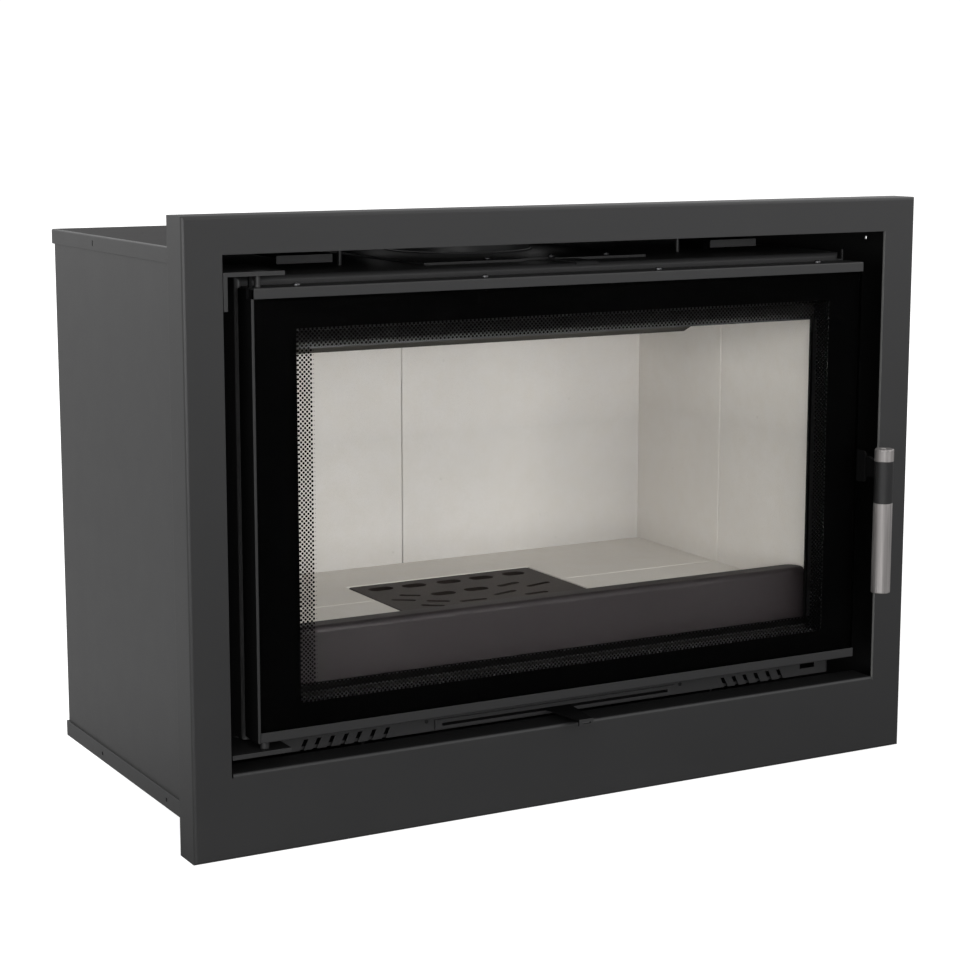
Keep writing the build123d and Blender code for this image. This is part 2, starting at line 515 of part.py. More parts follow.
# ===========================================================================
# Grate, its frame, ash pan, log guard
# ===========================================================================
with BuildPart() as grate_frame:
    block(-NOTCH_HALF + 0.3, NOTCH_HALF - 0.3, NOTCH_D0 + 0.3, NOTCH_D1 - 0.3, HEARTH_TOP, FLOOR_TOP - GRATE_T)
    block(-98.0, 98.0, 150.0, 272.0, HEARTH_TOP - 1, FLOOR_TOP, mode=Mode.SUBTRACT)
    # lightened legs: an angle section all round
    block(-NOTCH_HALF + 3.3, NOTCH_HALF - 3.3, NOTCH_D0 + 3.3, NOTCH_D1 - 3.3, HEARTH_TOP - 1, FLOOR_TOP - GRATE_T - 3.0,
          mode=Mode.SUBTRACT)
grate_frame.part.label = "grate_frame"
export_step(grate_frame.part, "parts/grate_frame.step")

# Holes of the grate: (x, d, length, width, turn in degrees from X)
GRATE_HOLES = [
    (-81, 260, 28, 16.5, 0), (-43, 258, 28, 16.5, 0), (-2, 257, 28, 16.5, 0), (38, 258, 28, 16.5, 0), (79, 260, 26, 16.5, 0),
    (-85, 200, 26, 6.5, -35), (-69, 217, 23, 6.5, -35), (-56, 179, 25, 7, -32),
    (-34, 209, 28, 15, 0), (6, 211, 28, 15, 0),
    (-22, 166, 31, 7, -4), (24, 181, 31, 7, 14), (52, 164, 29, 7, 4),
    (47, 215, 31, 8, 16), (75, 200, 34, 7, 16), (-70, 164, 25, 6.5, -36),
]
with BuildPart() as grate:
    block(-GRATE_HALF, GRATE_HALF, GRATE_D0, GRATE_D1, FLOOR_TOP - GRATE_T, FLOOR_TOP)
    with BuildSketch(Plane.XY.offset(Z(FLOOR_TOP + 1))):
        for gx, gd, gl, gw, ga in GRATE_HOLES:
            with Locations(Location((gx, Y(gd), 0), (0, 0, ga))):
                SlotOverall(gl, gw)
    extrude(amount=-(GRATE_T + 2), mode=Mode.SUBTRACT)
    fillet(grate.edges().filter_by(Axis.Z).group_by(SortBy.LENGTH)[-1]
           .filter_by(lambda e: abs(abs(e.center().X) - GRATE_HALF) < 0.1), 4.0)
    chamfer([e for e in grate.faces().sort_by(Axis.Z)[-1].outer_wire().edges()], 1.0)
    # stiffening ribs under the plate
    for x in (-62.0, 15.0, 64.0):
        block(x - 2.0, x + 2.0, GRATE_D0 + 12.0, GRATE_D1 - 13.0, FLOOR_TOP - GRATE_T - 4.0, FLOOR_TOP - GRATE_T)
grate.part.label = "grate"
export_step(grate.part, "parts/grate.step")

with BuildPart() as ash_pan:
    block(-PAN_HALF, PAN_HALF, PAN_D0, PAN_D1, PLENUM_TOP + 0.3, PAN_TOP)
    fillet(ash_pan.edges().filter_by(Axis.Z), 6.0)
    block(-PAN_HALF + 1.5, PAN_HALF - 1.5, PAN_D0 + 1.5, PAN_D1 - 1.5, PLENUM_TOP + 1.8, PAN_TOP + 1,
          mode=Mode.SUBTRACT)
ash_pan.part.label = "ash_pan"
export_step(ash_pan.part, "parts/ash_pan.step")

with BuildPart() as log_guard:
    block(-GUARD_HALF, GUARD_HALF, 40.0, GUARD_REAR, HEARTH_TOP + 0.3, GUARD_TOP)
    fillet([e for e in log_guard.edges().filter_by(Axis.X)
            if e.center().Z > Z(GUARD_TOP) - 0.1 and e.center().Y < Y(40.1)], 6.0)
    block(-GUARD_HALF - 1, GUARD_HALF + 1, 42.5, GUARD_REAR + 1, HEARTH_TOP - 1, GUARD_TOP - 2.5,
          mode=Mode.SUBTRACT)
    fillet([e for e in log_guard.edges().filter_by(Axis.Z)
            if abs(e.center().Y - Y(GUARD_REAR)) < 0.1 and e.length < 3.0], 12.0)
log_guard.part.label = "log_guard"
export_step(log_guard.part, "parts/log_guard.step")

# ===========================================================================
# Air control
# ===========================================================================
with BuildPart() as air_slide_guide:
    block(-137.0, 137.0, BOX_FRONT - 2.0, BOX_FRONT, 81.0, 90.5)
    block(-129.5, 129.5, BOX_FRONT - 3.0, BOX_FRONT + 1, 83.9, 86.8, mode=Mode.SUBTRACT)
air_slide_guide.part.label = "air_slide_guide"
export_step(air_slide_guide.part, "parts/air_slide_guide.step")

AIR_H0, AIR_H1 = 84.2, 86.2
with BuildPart() as air_slide:
    # tongue: tapers from its root in the slot to the tip in front
    with BuildSketch(Plane.XY.offset(Z(AIR_H0))):
        Polygon([(-14.0, Y(48.0)), (-14.0, Y(30.0)), (-8.0, Y(-12.0)), (-8.0, Y(-20.0)),
                 (8.0, Y(-20.0)), (8.0, Y(-12.0)), (14.0, Y(30.0)), (14.0, Y(48.0))], align=None)
    extrude(amount=AIR_H1 - AIR_H0)
    # turned-down finger edge at the tip, with an oval hole
    block(-8.0, 8.0, -20.0, -18.0, 79.9, AIR_H1)
    block(-4.0, 4.0, -21.0, -17.0, 81.3, 83.3, mode=Mode.SUBTRACT)
    for s in (-1, 1):
        rod_y(s * 4.0, -21.0, -17.0, 82.3, 1.0, mode=Mode.SUBTRACT)
    # damper plate behind the front plate, with one window
    block(-125.0, 125.0, 42.0, 98.0, AIR_H0, AIR_H1)
    for x in (-60.0, 60.0):
        block(x - 35, x + 35, 55.0, 85.0, AIR_H0 - 1, AIR_H1 + 1, mode=Mode.SUBTRACT)
air_slide.part.label = "air_slide"
export_step(air_slide.part, "parts/air_slide.step")

with BuildPart() as guide_screws:
    for x in (-145.5, 145.5):
        rod_y(x, BOX_FRONT - 1.0, BOX_FRONT, 89.8, 1.9)
guide_screws.part.label = "guide_screws"
export_step(guide_screws.part, "parts/guide_screws.step")

# ===========================================================================
# Hinges
# ===========================================================================
BRK_X0, BRK_X1 = -361.3, -303.7
BRK_FRONT = -3.0
TBR_X0 = -361.9
TBR_H0, TBR_H1 = 524.9, 528.8
with BuildPart() as hinge_bracket_top:
    block(TBR_X0, BRK_X1, BRK_FRONT, 86.0, TBR_H0, TBR_H1)
    block(TBR_X0, TBR_X0 + 3.8, BRK_FRONT, 30.0, 495.0, TBR_H0)
    chamfer([e for e in hinge_bracket_top.edges().filter_by(Axis.Z)
             if abs(e.center().X - TBR_X0) < 0.05 and e.center().Y > Y(80)], 20.0)
    # packer welded between the bracket and the firebox top, and a lug beside the pin
    block(-334.0, -304.0, 60.0, 86.0, BOX_TOP, TBR_H0)
    block(-336.7, -334.3, -0.7, 3.0, 515.0, TBR_H0)
    post(HINGE_X, HINGE_D, TBR_H0 - 1, TBR_H1 + 1, PIN_R, mode=Mode.SUBTRACT)
hinge_bracket_top.part.label = "hinge_bracket_top"
export_step(hinge_bracket_top.part, "parts/hinge_bracket_top.step")

BRK_H0 = 92.2
with BuildPart() as hinge_bracket_bottom:
    block(BRK_X0, BRK_X1, BRK_FRONT, 62.0, BRK_H0, BRK_H0 + BRK_T)
    post(HINGE_X, HINGE_D, BRK_H0 - 1, BRK_H0 + BRK_T + 1, PIN_R, mode=Mode.SUBTRACT)
hinge_bracket_bottom.part.label = "hinge_bracket_bottom"
export_step(hinge_bracket_bottom.part, "parts/hinge_bracket_bottom.step")

# Upper and lower pin, fixed in their brackets
with BuildPart() as hinge_pins:
    post(HINGE_X, HINGE_D, 500.0, TBR_H1, PIN_R)
    post(HINGE_X, HINGE_D, TBR_H1, TBR_H1 + 0.9, 8.5)
    post(HINGE_X, HINGE_D, BRK_H0, 118.0, PIN_R)
hinge_pins.part.label = "hinge_pins"
export_step(hinge_pins.part, "parts/hinge_pins.step")

# Bush that carries the door on the lower bracket
with BuildPart() as hinge_spacer:
    post(HINGE_X, HINGE_D, BRK_H0 + BRK_T, 104.3, 4.3)
    post(HINGE_X, HINGE_D, BRK_H0, 106.0, PIN_R, mode=Mode.SUBTRACT)
hinge_spacer.part.label = "hinge_spacer"
export_step(hinge_spacer.part, "parts/hinge_spacer.step")

# ===========================================================================
# Door
# ===========================================================================
# Channel section frame, open to the front, where the glass closes it
with BuildPart() as door_frame:
    block(-DOOR_HALF, DOOR_HALF, GLASS_D1, DF_REAR, GLASS_H0, GLASS_H1)
    block(-DF_OPEN_X, DF_OPEN_X, GLASS_D1 - 1, DF_REAR + 1, DF_H0, DF_H1, mode=Mode.SUBTRACT)
    # trough of the channel, four sides
    T = 2.0
    block(-DOOR_HALF + T, DOOR_HALF - T, GLASS_D1 - 1, DF_REAR - T, GLASS_H0 + T, DF_H0 - T, mode=Mode.SUBTRACT)
    block(-DOOR_HALF + T, DOOR_HALF - T, GLASS_D1 - 1, DF_REAR - T, DF_H1 + T, GLASS_H1 - T, mode=Mode.SUBTRACT)
    block(-DOOR_HALF + T, -DF_OPEN_X - T, GLASS_D1 - 1, DF_REAR - T, GLASS_H0 + T, GLASS_H1 - T, mode=Mode.SUBTRACT)
    block(DF_OPEN_X + T, DOOR_HALF - T, GLASS_D1 - 1, DF_REAR - T, GLASS_H0 + T, GLASS_H1 - T, mode=Mode.SUBTRACT)
    # hinge bosses, top and bottom
    post(HINGE_X, HINGE_D, GLASS_H1 - 8.0, GLASS_H1 - T, 5.0)
    post(HINGE_X, HINGE_D, GLASS_H0 + T, GLASS_H0 + 8.0, 5.0)
    post(HINGE_X, HINGE_D, 495.0, GLASS_H1 + 1, PIN_BORE_R, mode=Mode.SUBTRACT)
    post(HINGE_X, HINGE_D, GLASS_H0 - 1, 122.0, PIN_BORE_R, mode=Mode.SUBTRACT)
    for x in SCREW_X:
        for h in (GLASS_H0 + T / 2, GLASS_H1 - T / 2):
            post(x, SCREW_D, h - T, h + T, 2.0, mode=Mode.SUBTRACT)
door_frame.part.label = "door_frame"
export_step(door_frame.part, "parts/door_frame.step")

with BuildPart() as door_glass:
    block(-DOOR_HALF, DOOR_HALF, GLASS_D0, GLASS_D1, GLASS_H0, GLASS_H1)
    chamfer(door_glass.faces().sort_by(Axis.Y)[0].edges(), 0.5)
door_glass.part.label = "door_glass"
export_step(door_glass.part, "parts/door_glass.step")

# Trim profiles that clip the glass to the frame
STRIP_T = 1.5
with BuildPart() as door_top_strip:
    block(-DOOR_HALF, DOOR_HALF, GLASS_D0 - STRIP_T, GLASS_D0, 504.9, GLASS_H1)
    block(-DOOR_HALF, DOOR_HALF, GLASS_D0 - STRIP_T, DF_REAR, GLASS_H1, GLASS_H1 + STRIP_T)
    fillet([e for e in door_top_strip.edges().filter_by(Axis.X)
            if e.center().Z > Z(GLASS_H1 + STRIP_T) - 0.05 and e.center().Y < Y(GLASS_D0)], 1.2)
    post(HINGE_X, HINGE_D, GLASS_H1 - 1, GLASS_H1 + STRIP_T + 1, PIN_BORE_R, mode=Mode.SUBTRACT)
    for x in SCREW_X:
        post(x, SCREW_D, GLASS_H1 - 1, GLASS_H1 + STRIP_T + 1, 2.0, mode=Mode.SUBTRACT)
door_top_strip.part.label = "door_top_strip"
export_step(door_top_strip.part, "parts/door_top_strip.step")

with BuildPart() as door_bottom_strip:
    block(-DOOR_HALF, DOOR_HALF, GLASS_D0 - STRIP_T, GLASS_D0, GLASS_H0, 113.8)
    block(-DOOR_HALF, DOOR_HALF, GLASS_D0 - STRIP_T, DF_REAR, GLASS_H0 - STRIP_T, GLASS_H0)
    fillet([e for e in door_bottom_strip.edges().filter_by(Axis.X)
            if e.center().Z < Z(GLASS_H0 - STRIP_T) + 0.05 and e.center().Y < Y(GLASS_D0)], 1.2)
    post(HINGE_X, HINGE_D, GLASS_H0 - STRIP_T - 1, GLASS_H0 + 1, PIN_BORE_R, mode=Mode.SUBTRACT)
    for x in SCREW_X:
        post(x, SCREW_D, GLASS_H0 - STRIP_T - 1, GLASS_H0 + 1, 2.0, mode=Mode.SUBTRACT)
door_bottom_strip.part.label = "door_bottom_strip"
export_step(door_bottom_strip.part, "parts/door_bottom_strip.step")

with BuildPart() as door_left_strip:
    block(-DOOR_HALF - 2.5, -DOOR_HALF, -4.0, DF_REAR, GLASS_H0 - STRIP_T, 504.9)
    block(-DOOR_HALF - 2.5, -DOOR_HALF, 6.0, DF_REAR, 504.9, GLASS_H1)
door_left_strip.part.label = "door_left_strip"
export_step(door_left_strip.part, "parts/door_left_strip.step")

# Screws of the two profiles: head outside, shank through profile and frame
with BuildPart() as door_screws:
    for x in SCREW_X:
        post(x, SCREW_D, GLASS_H1 + STRIP_T, GLASS_H1 + STRIP_T + 2.2, 3.5)
        post(x, SCREW_D, GLASS_H1 - T, GLASS_H1 + STRIP_T, 2.0)
        post(x, SCREW_D, GLASS_H0 - STRIP_T - 2.2, GLASS_H0 - STRIP_T, 3.5)
        post(x, SCREW_D, GLASS_H0 - STRIP_T, GLASS_H0 + T, 2.0)
door_screws.part.label = "door_screws"
export_step(door_screws.part, "parts/door_screws.step")

with BuildPart() as door_gasket:
    with BuildSketch(Plane.XZ.offset(-Y(DF_REAR))):
        with Locations((0, Z(298.5))):
            RectangleRounded(636.0, 347.0, 12.0)
            RectangleRounded(612.0, 323.0, 6.0, mode=Mode.SUBTRACT)
    extrude(amount=-9.0)
door_gasket.part.label = "door_gasket"
export_step(door_gasket.part, "parts/door_gasket.step")

# ===========================================================================
# Latch and handle
# ===========================================================================
with BuildPart() as latch_plate:
    block(DOOR_HALF, 336.4, -16.0, 18.0, 290.0, 322.0)
    fillet(latch_plate.edges().filter_by(Axis.X), 3.0)
    rod_x(DOOR_HALF - 1, 338.0, LATCH_D, LATCH_H, BOLT_R, mode=Mode.SUBTRACT)
latch_plate.part.label = "latch_plate"
export_step(latch_plate.part, "parts/latch_plate.step")

with BuildPart() as latch_screws:
    for d, h in ((-12.3, 294.5), (12.5, 294.5), (-12.3, 317.5), (12.5, 317.5)):
        rod_x(336.4, 336.8, d, h, 2.0)
latch_screws.part.label = "latch_screws"
export_step(latch_screws.part, "parts/latch_screws.step")

ARM_X0, ARM_X1 = 337.0, 341.0
# Pivot bolt of the lever, fixed in the cheek plate
with BuildPart() as latch_bolt:
    rod_x(DOOR_HALF, 341.4, LATCH_D, LATCH_H, BOLT_R)
    rod_x(341.4, 344.0, LATCH_D, LATCH_H, 6.5)
latch_bolt.part.label = "latch_bolt"
export_step(latch_bolt.part, "parts/latch_bolt.step")

# Lever plate: from the handle bar past the pivot to the hook
with BuildPart() as handle_arm:
    with BuildSketch(Plane.YZ.offset(ARM_X0)):
        Polygon([(Y(-38.0), Z(297.0)), (Y(-38.0), Z(313.0)), (Y(-30.0), Z(313.0)), (Y(-18.0), Z(316.5)), (Y(4.0), Z(317.0)),
                 (Y(12.0), Z(308.0)), (Y(20.0), Z(296.0)), (Y(51.5), Z(294.0)), (Y(51.5), Z(298.4)),
                 (Y(58.0), Z(296.0)), (Y(58.0), Z(286.0)), (Y(14.0), Z(286.0)), (Y(-4.0), Z(295.5)),
                 (Y(-30.0), Z(297.0))], align=None)
    extrude(amount=ARM_X1 - ARM_X0)
    rod_x(ARM_X0 - 1, ARM_X1 + 1, LATCH_D, LATCH_H, BOLT_BORE_R, mode=Mode.SUBTRACT)
handle_arm.part.label = "handle_arm"
export_step(handle_arm.part, "parts/handle_arm.step")

with BuildPart() as handle_collar:
    post(BAR_X, BAR_D, BAR_H1, BAR_H2, BAR_R)
    block(ARM_X0, ARM_X1, -38.0, -25.0, 297.0, 313.0, mode=Mode.SUBTRACT)
handle_collar.part.label = "handle_collar"
export_step(handle_collar.part, "parts/handle_collar.step")

with BuildPart() as handle_tube_upper:
    post(BAR_X, BAR_D, BAR_H2, BAR_H3, BAR_R)
    chamfer(handle_tube_upper.faces().sort_by(Axis.Z)[-1].edges(), 0.8)
handle_tube_upper.part.label = "handle_tube_upper"
export_step(handle_tube_upper.part, "parts/handle_tube_upper.step")

with BuildPart() as handle_tube_lower:
    post(BAR_X, BAR_D, BAR_H0, BAR_H1, BAR_R)
    chamfer(handle_tube_lower.faces().sort_by(Axis.Z)[0].edges(), 0.8)
handle_tube_lower.part.label = "handle_tube_lower"
export_step(handle_tube_lower.part, "parts/handle_tube_lower.step")

# Keeper: a pin on the outside of the firebox, with a small backing plate
with BuildPart() as latch_keeper:
    rod_x(BOX_HALF, 346.0, 46.0, 303.0, 4.0)
latch_keeper.part.label = "latch_keeper"
export_step(latch_keeper.part, "parts/latch_keeper.step")
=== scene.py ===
import bpy
import bmesh
import math
import random
from mathutils import Matrix, Vector
from mathutils import noise as mnoise


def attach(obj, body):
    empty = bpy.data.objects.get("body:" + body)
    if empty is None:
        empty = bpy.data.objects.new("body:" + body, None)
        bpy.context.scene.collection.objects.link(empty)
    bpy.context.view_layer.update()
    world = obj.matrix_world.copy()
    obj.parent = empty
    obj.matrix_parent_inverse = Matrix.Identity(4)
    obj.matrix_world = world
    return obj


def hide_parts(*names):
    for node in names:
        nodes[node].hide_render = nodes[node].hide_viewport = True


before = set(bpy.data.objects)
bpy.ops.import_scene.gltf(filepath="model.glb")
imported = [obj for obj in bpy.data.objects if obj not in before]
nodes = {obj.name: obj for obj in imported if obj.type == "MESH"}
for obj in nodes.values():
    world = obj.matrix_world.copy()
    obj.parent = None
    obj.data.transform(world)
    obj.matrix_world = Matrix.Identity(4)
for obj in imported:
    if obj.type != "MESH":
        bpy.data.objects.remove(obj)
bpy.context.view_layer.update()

rnd = random.Random(4711)

# ---------------------------------------------------------------------------
# Drawing measures: x from the middle plane, d depth from the face frame's
# corner line, h height above its bottom edge, all in millimetres.
# ---------------------------------------------------------------------------
DEPTH_MID = 173.875
LIFT = 1.0


def V(x, d, h):
    return Vector((x / 1000.0, (d - DEPTH_MID) / 1000.0, (h + LIFT) / 1000.0))


# ---------------------------------------------------------------------------
# Camera, at the photograph's viewing angle
# ---------------------------------------------------------------------------
cam_data = bpy.data.cameras.new("camera")
cam_data.sensor_width = 36.0
cam_data.sensor_fit = "HORIZONTAL"
cam_data.lens = 36.0 * 2271.86 / 960.0
cam_data.clip_start, cam_data.clip_end = 0.05, 60.0
cam = bpy.data.objects.new("camera", cam_data)
cam.location = V(-1121.81, -1829.09, 678.61)
cam.rotation_euler = (math.radians(90.0 - 9.564), 0.0, -math.radians(29.034))
bpy.context.scene.collection.objects.link(cam)
bpy.context.scene.camera = cam
bpy.context.scene.view_settings.view_transform = "Standard"
bpy.context.scene.view_settings.look = "None"

# ---------------------------------------------------------------------------
# Materials
# ---------------------------------------------------------------------------


def mat_base(name):
    m = bpy.data.materials.new(name)
    m.use_nodes = True
    nt = m.node_tree
    nt.nodes.clear()
    out = nt.nodes.new("ShaderNodeOutputMaterial")
    bs = nt.nodes.new("ShaderNodeBsdfPrincipled")
    nt.links.new(bs.outputs[0], out.inputs[0])
    return m, nt, bs, out


def coords(nt, scale=(1, 1, 1)):
    tc = nt.nodes.new("ShaderNodeTexCoord")
    mp = nt.nodes.new("ShaderNodeMapping")
    mp.inputs["Scale"].default_value = scale
    nt.links.new(tc.outputs["Object"], mp.inputs["Vector"])
    return mp.outputs["Vector"]


def noise(nt, vec, scale, detail=2.0, rough=0.5, distortion=0.0):
    n = nt.nodes.new("ShaderNodeTexNoise")
    n.inputs["Scale"].default_value = scale
    n.inputs["Detail"].default_value = detail
    n.inputs["Roughness"].default_value = rough
    n.inputs["Distortion"].default_value = distortion
    nt.links.new(vec, n.inputs["Vector"])
    return n.outputs["Fac"]


def voronoi(nt, vec, scale, feature="F1", rand=1.0):
    n = nt.nodes.new("ShaderNodeTexVoronoi")
    n.feature = feature
    n.inputs["Scale"].default_value = scale
    n.inputs["Randomness"].default_value = rand
    nt.links.new(vec, n.inputs["Vector"])
    return n


def remap(nt, sock, a, b, c, d):
    n = nt.nodes.new("ShaderNodeMapRange")
    n.inputs["From Min"].default_value = a
    n.inputs["From Max"].default_value = b
    n.inputs["To Min"].default_value = c
    n.inputs["To Max"].default_value = d
    nt.links.new(sock, n.inputs["Value"])
    return n.outputs["Result"]


def math_node(nt, op, a, b):
    n = nt.nodes.new("ShaderNodeMath")
    n.operation = op
    for i, v in enumerate((a, b)):
        if v is None:
            continue
        if isinstance(v, (int, float)):
            n.inputs[i].default_value = v
        else:
            nt.links.new(v, n.inputs[i])
    return n.outputs[0]


def mix_col(nt, fac, c1, c2, blend="MIX"):
    n = nt.nodes.new("ShaderNodeMix")
    n.data_type = "RGBA"
    n.blend_type = blend
    if isinstance(fac, (int, float)):
        n.inputs[0].default_value = fac
    else:
        nt.links.new(fac, n.inputs[0])
    for i, c in ((6, c1), (7, c2)):
        if isinstance(c, tuple):
            n.inputs[i].default_value = (*c, 1.0)
        else:
            nt.links.new(c, n.inputs[i])
    return n.outputs[2]


def bump(nt, height, strength, distance, edge=0.0):
    """Relief from a height, over edges that are rounded by the given radius."""
    n = nt.nodes.new("ShaderNodeBump")
    n.inputs["Strength"].default_value = strength
    n.inputs["Distance"].default_value = distance
    nt.links.new(height, n.inputs["Height"])
    if edge > 0:
        b = nt.nodes.new("ShaderNodeBevel")
        b.samples = 6
        b.inputs["Radius"].default_value = edge
        nt.links.new(b.outputs["Normal"], n.inputs["Normal"])
    return n.outputs["Normal"]


def scaled(c, k):
    return tuple(v * k for v in c)


def paint(name, col, rough=0.38, spec=0.5, grain=1400.0, depth=0.00003, spread=0.05, marks=0.10, edge=0.0005):
    """Baked-on stove paint: fine orange peel, soft cloudy variation, faint rubbed spots."""
    m, nt, bs, out = mat_base(name)
    v = coords(nt)
    big = noise(nt, v, 3.0, 2.0)
    mid = noise(nt, v, 30.0, 3.0)
    fine = noise(nt, v, grain, 2.0, 0.6)
    tone = mix_col(nt, remap(nt, big, 0.3, 0.7, 0, 1), scaled(col, 1 - spread), scaled(col, 1 + spread))
    tone = mix_col(nt, remap(nt, fine, 0.35, 0.75, 0, 0.25), tone, scaled(col, 1.35))
    rub = remap(nt, mid, 0.62, 0.80, 0, marks)
    tone = mix_col(nt, rub, tone, scaled(col, 1.6))
    nt.links.new(tone, bs.inputs["Base Color"])
    r = math_node(nt, "ADD", remap(nt, mid, 0.3, 0.7, rough - 0.012, rough + 0.012),
                  remap(nt, fine, 0.3, 0.7, -0.03, 0.03))
    nt.links.new(r, bs.inputs["Roughness"])
    bs.inputs["Specular IOR Level"].default_value = spec
    nt.links.new(bump(nt, fine, 0.35, depth, edge), bs.inputs["Normal"])
    return m


def front_paint(name, col, inner_col, **kw):
    """Stove paint of the firebox front, darker and duller over the front round the mouth."""
    m = paint(name, col, **kw)
    nt = m.node_tree
    bs = next(n for n in nt.nodes if n.type == "BSDF_PRINCIPLED")
    tc = nt.nodes.new("ShaderNodeTexCoord")
    sep = nt.nodes.new("ShaderNodeSeparateXYZ")
    nt.links.new(tc.outputs["Object"], sep.inputs[0])
    side = remap(nt, math_node(nt, "ABSOLUTE", sep.outputs[0], None), 0.329, 0.334, 1.0, 0.0)
    low = remap(nt, sep.outputs[2], 0.119, 0.126, 0.0, 1.0)
    top = remap(nt, sep.outputs[2], 0.440, 0.455, 1.0, 0.0)
    zone = math_node(nt, "MULTIPLY", side, math_node(nt, "MULTIPLY", low, top))
    old = bs.inputs["Base Color"].links[0].from_socket
    nt.links.new(mix_col(nt, zone, old, inner_col), bs.inputs["Base Color"])
    nt.links.new(remap(nt, zone, 0.0, 1.0, kw.get("spec", 0.5), 0.06), bs.inputs["Specular IOR Level"])
    return m


def painted_light_grade(m):
    """Painted light and shade: the tone is graded across the piece, darker to the lower left. Tuned to the photo's
    shading: the grading is not a known property of the paint."""
    nt = m.node_tree
    bs = next(n for n in nt.nodes if n.type == "BSDF_PRINCIPLED")
    tc = nt.nodes.new("ShaderNodeTexCoord")
    sep = nt.nodes.new("ShaderNodeSeparateXYZ")
    nt.links.new(tc.outputs["Object"], sep.inputs[0])
    painted_light_rise = remap(nt, sep.outputs[2], 0.04, 0.55, 0.82, 1.02)
    tilt = remap(nt, sep.outputs[2], 0.04, 0.55, 0.07, 0.40)
    k = math_node(nt, "ADD", painted_light_rise, math_node(nt, "MULTIPLY", sep.outputs[0], tilt))
    grey = nt.nodes.new("ShaderNodeCombineColor")
    for i in range(3):
        nt.links.new(k, grey.inputs[i])
    old = bs.inputs["Base Color"].links[0].from_socket
    nt.links.new(mix_col(nt, 1.0, old, grey.outputs[0], blend="MULTIPLY"), bs.inputs["Base Color"])
    return m


def cast(name, col, rough=0.62, spec=0.28, edge=0.0009):
    """Dark cast iron with a sandy skin."""
    m, nt, bs, out = mat_base(name)
    v = coords(nt)
    big = noise(nt, v, 14.0, 4.0)
    grit = noise(nt, v, 900.0, 4.0, 0.65)
    pit = voronoi(nt, v, 420.0).outputs["Distance"]
    tone = mix_col(nt, remap(nt, big, 0.3, 0.7, 0, 1), scaled(col, 0.8), scaled(col, 1.25))
    tone = mix_col(nt, remap(nt, grit, 0.55, 0.8, 0, 0.6), tone, scaled(col, 1.7))
    nt.links.new(tone, bs.inputs["Base Color"])
    nt.links.new(remap(nt, grit, 0.3, 0.7, rough - 0.1, rough + 0.12), bs.inputs["Roughness"])
    bs.inputs["Specular IOR Level"].default_value = spec
    h = math_node(nt, "ADD", grit, remap(nt, pit, 0.0, 0.35, 0.0, 0.5))
    nt.links.new(bump(nt, h, 0.5, 0.00025, edge), bs.inputs["Normal"])
    return m


def board(name, col, edge=0.0009, painted_light_rise=None, along=2):
    """Pressed mineral board: pale, grainy, with small flakes, pits and faint press marks.
    painted_light_rise: painted light and shade, a tone ramp (from, to, tone there, tone there) along one axis. Tuned
    to the photo's shading."""
    m, nt, bs, out = mat_base(name)
    v = coords(nt)
    cloud = noise(nt, v, 7.0, 4.0, 0.55)
    mottle = noise(nt, v, 60.0, 4.0, 0.6)
    grain = noise(nt, v, 750.0, 4.0, 0.7)
    fl = voronoi(nt, v, 260.0)
    flake = remap(nt, fl.outputs["Distance"], 0.05, 0.22, 1.0, 0.0)
    pick = nt.nodes.new("ShaderNodeSeparateColor")
    nt.links.new(fl.outputs["Color"], pick.inputs[0])
    light = math_node(nt, "MULTIPLY", flake, remap(nt, pick.outputs[0], 0.80, 0.84, 0.0, 1.0))
    dark = math_node(nt, "MULTIPLY", flake, remap(nt, pick.outputs[1], 0.88, 0.92, 0.0, 1.0))
    sp = voronoi(nt, v, 38.0)
    spot_pick = nt.nodes.new("ShaderNodeSeparateColor")
    nt.links.new(sp.outputs["Color"], spot_pick.inputs[0])
    spot = math_node(nt, "MULTIPLY", remap(nt, sp.outputs["Distance"], 0.03, 0.09, 1.0, 0.0),
                     remap(nt, spot_pick.outputs[2], 0.82, 0.86, 0.0, 1.0))
    tone = mix_col(nt, remap(nt, cloud, 0.3, 0.7, 0, 1), scaled(col, 0.955), scaled(col, 1.035))
    tone = mix_col(nt, remap(nt, mottle, 0.35, 0.7, 0.0, 0.35), tone, (col[0] * 0.93, col[1] * 0.90, col[2] * 0.84))
    tone = mix_col(nt, remap(nt, grain, 0.4, 0.75, 0.0, 0.35), tone, scaled(col, 0.82))
    tone = mix_col(nt, math_node(nt, "MULTIPLY", light, 0.30), tone, (col[0] * 1.25, col[1] * 1.22, col[2] * 1.08))
    tone = mix_col(nt, math_node(nt, "MULTIPLY", dark, 0.25), tone, (col[0] * 0.50, col[1] * 0.47, col[2] * 0.42))
    tone = mix_col(nt, math_node(nt, "MULTIPLY", spot, 0.14), tone, (col[0] * 0.47, col[1] * 0.45, col[2] * 0.42))
    if painted_light_rise:
        sep = nt.nodes.new("ShaderNodeSeparateXYZ")
        nt.links.new(v, sep.inputs[0])
        k = remap(nt, sep.outputs[along], *painted_light_rise)
        grey = nt.nodes.new("ShaderNodeCombineColor")
        for i in range(3):
            nt.links.new(k, grey.inputs[i])
        tone = mix_col(nt, 1.0, tone, grey.outputs[0], blend="MULTIPLY")
    nt.links.new(tone, bs.inputs["Base Color"])
    nt.links.new(remap(nt, grain, 0.3, 0.7, 0.86, 0.98), bs.inputs["Roughness"])
    bs.inputs["Specular IOR Level"].default_value = 0.25
    h = math_node(nt, "ADD", grain, math_node(nt, "MULTIPLY", mottle, 1.5))
    h = math_node(nt, "SUBTRACT", h, math_node(nt, "MULTIPLY", dark, 0.8))
    h = math_node(nt, "SUBTRACT", h, math_node(nt, "MULTIPLY", spot, 1.5))
    nt.links.new(bump(nt, h, 0.30, 0.0004, edge), bs.inputs["Normal"])
    return m


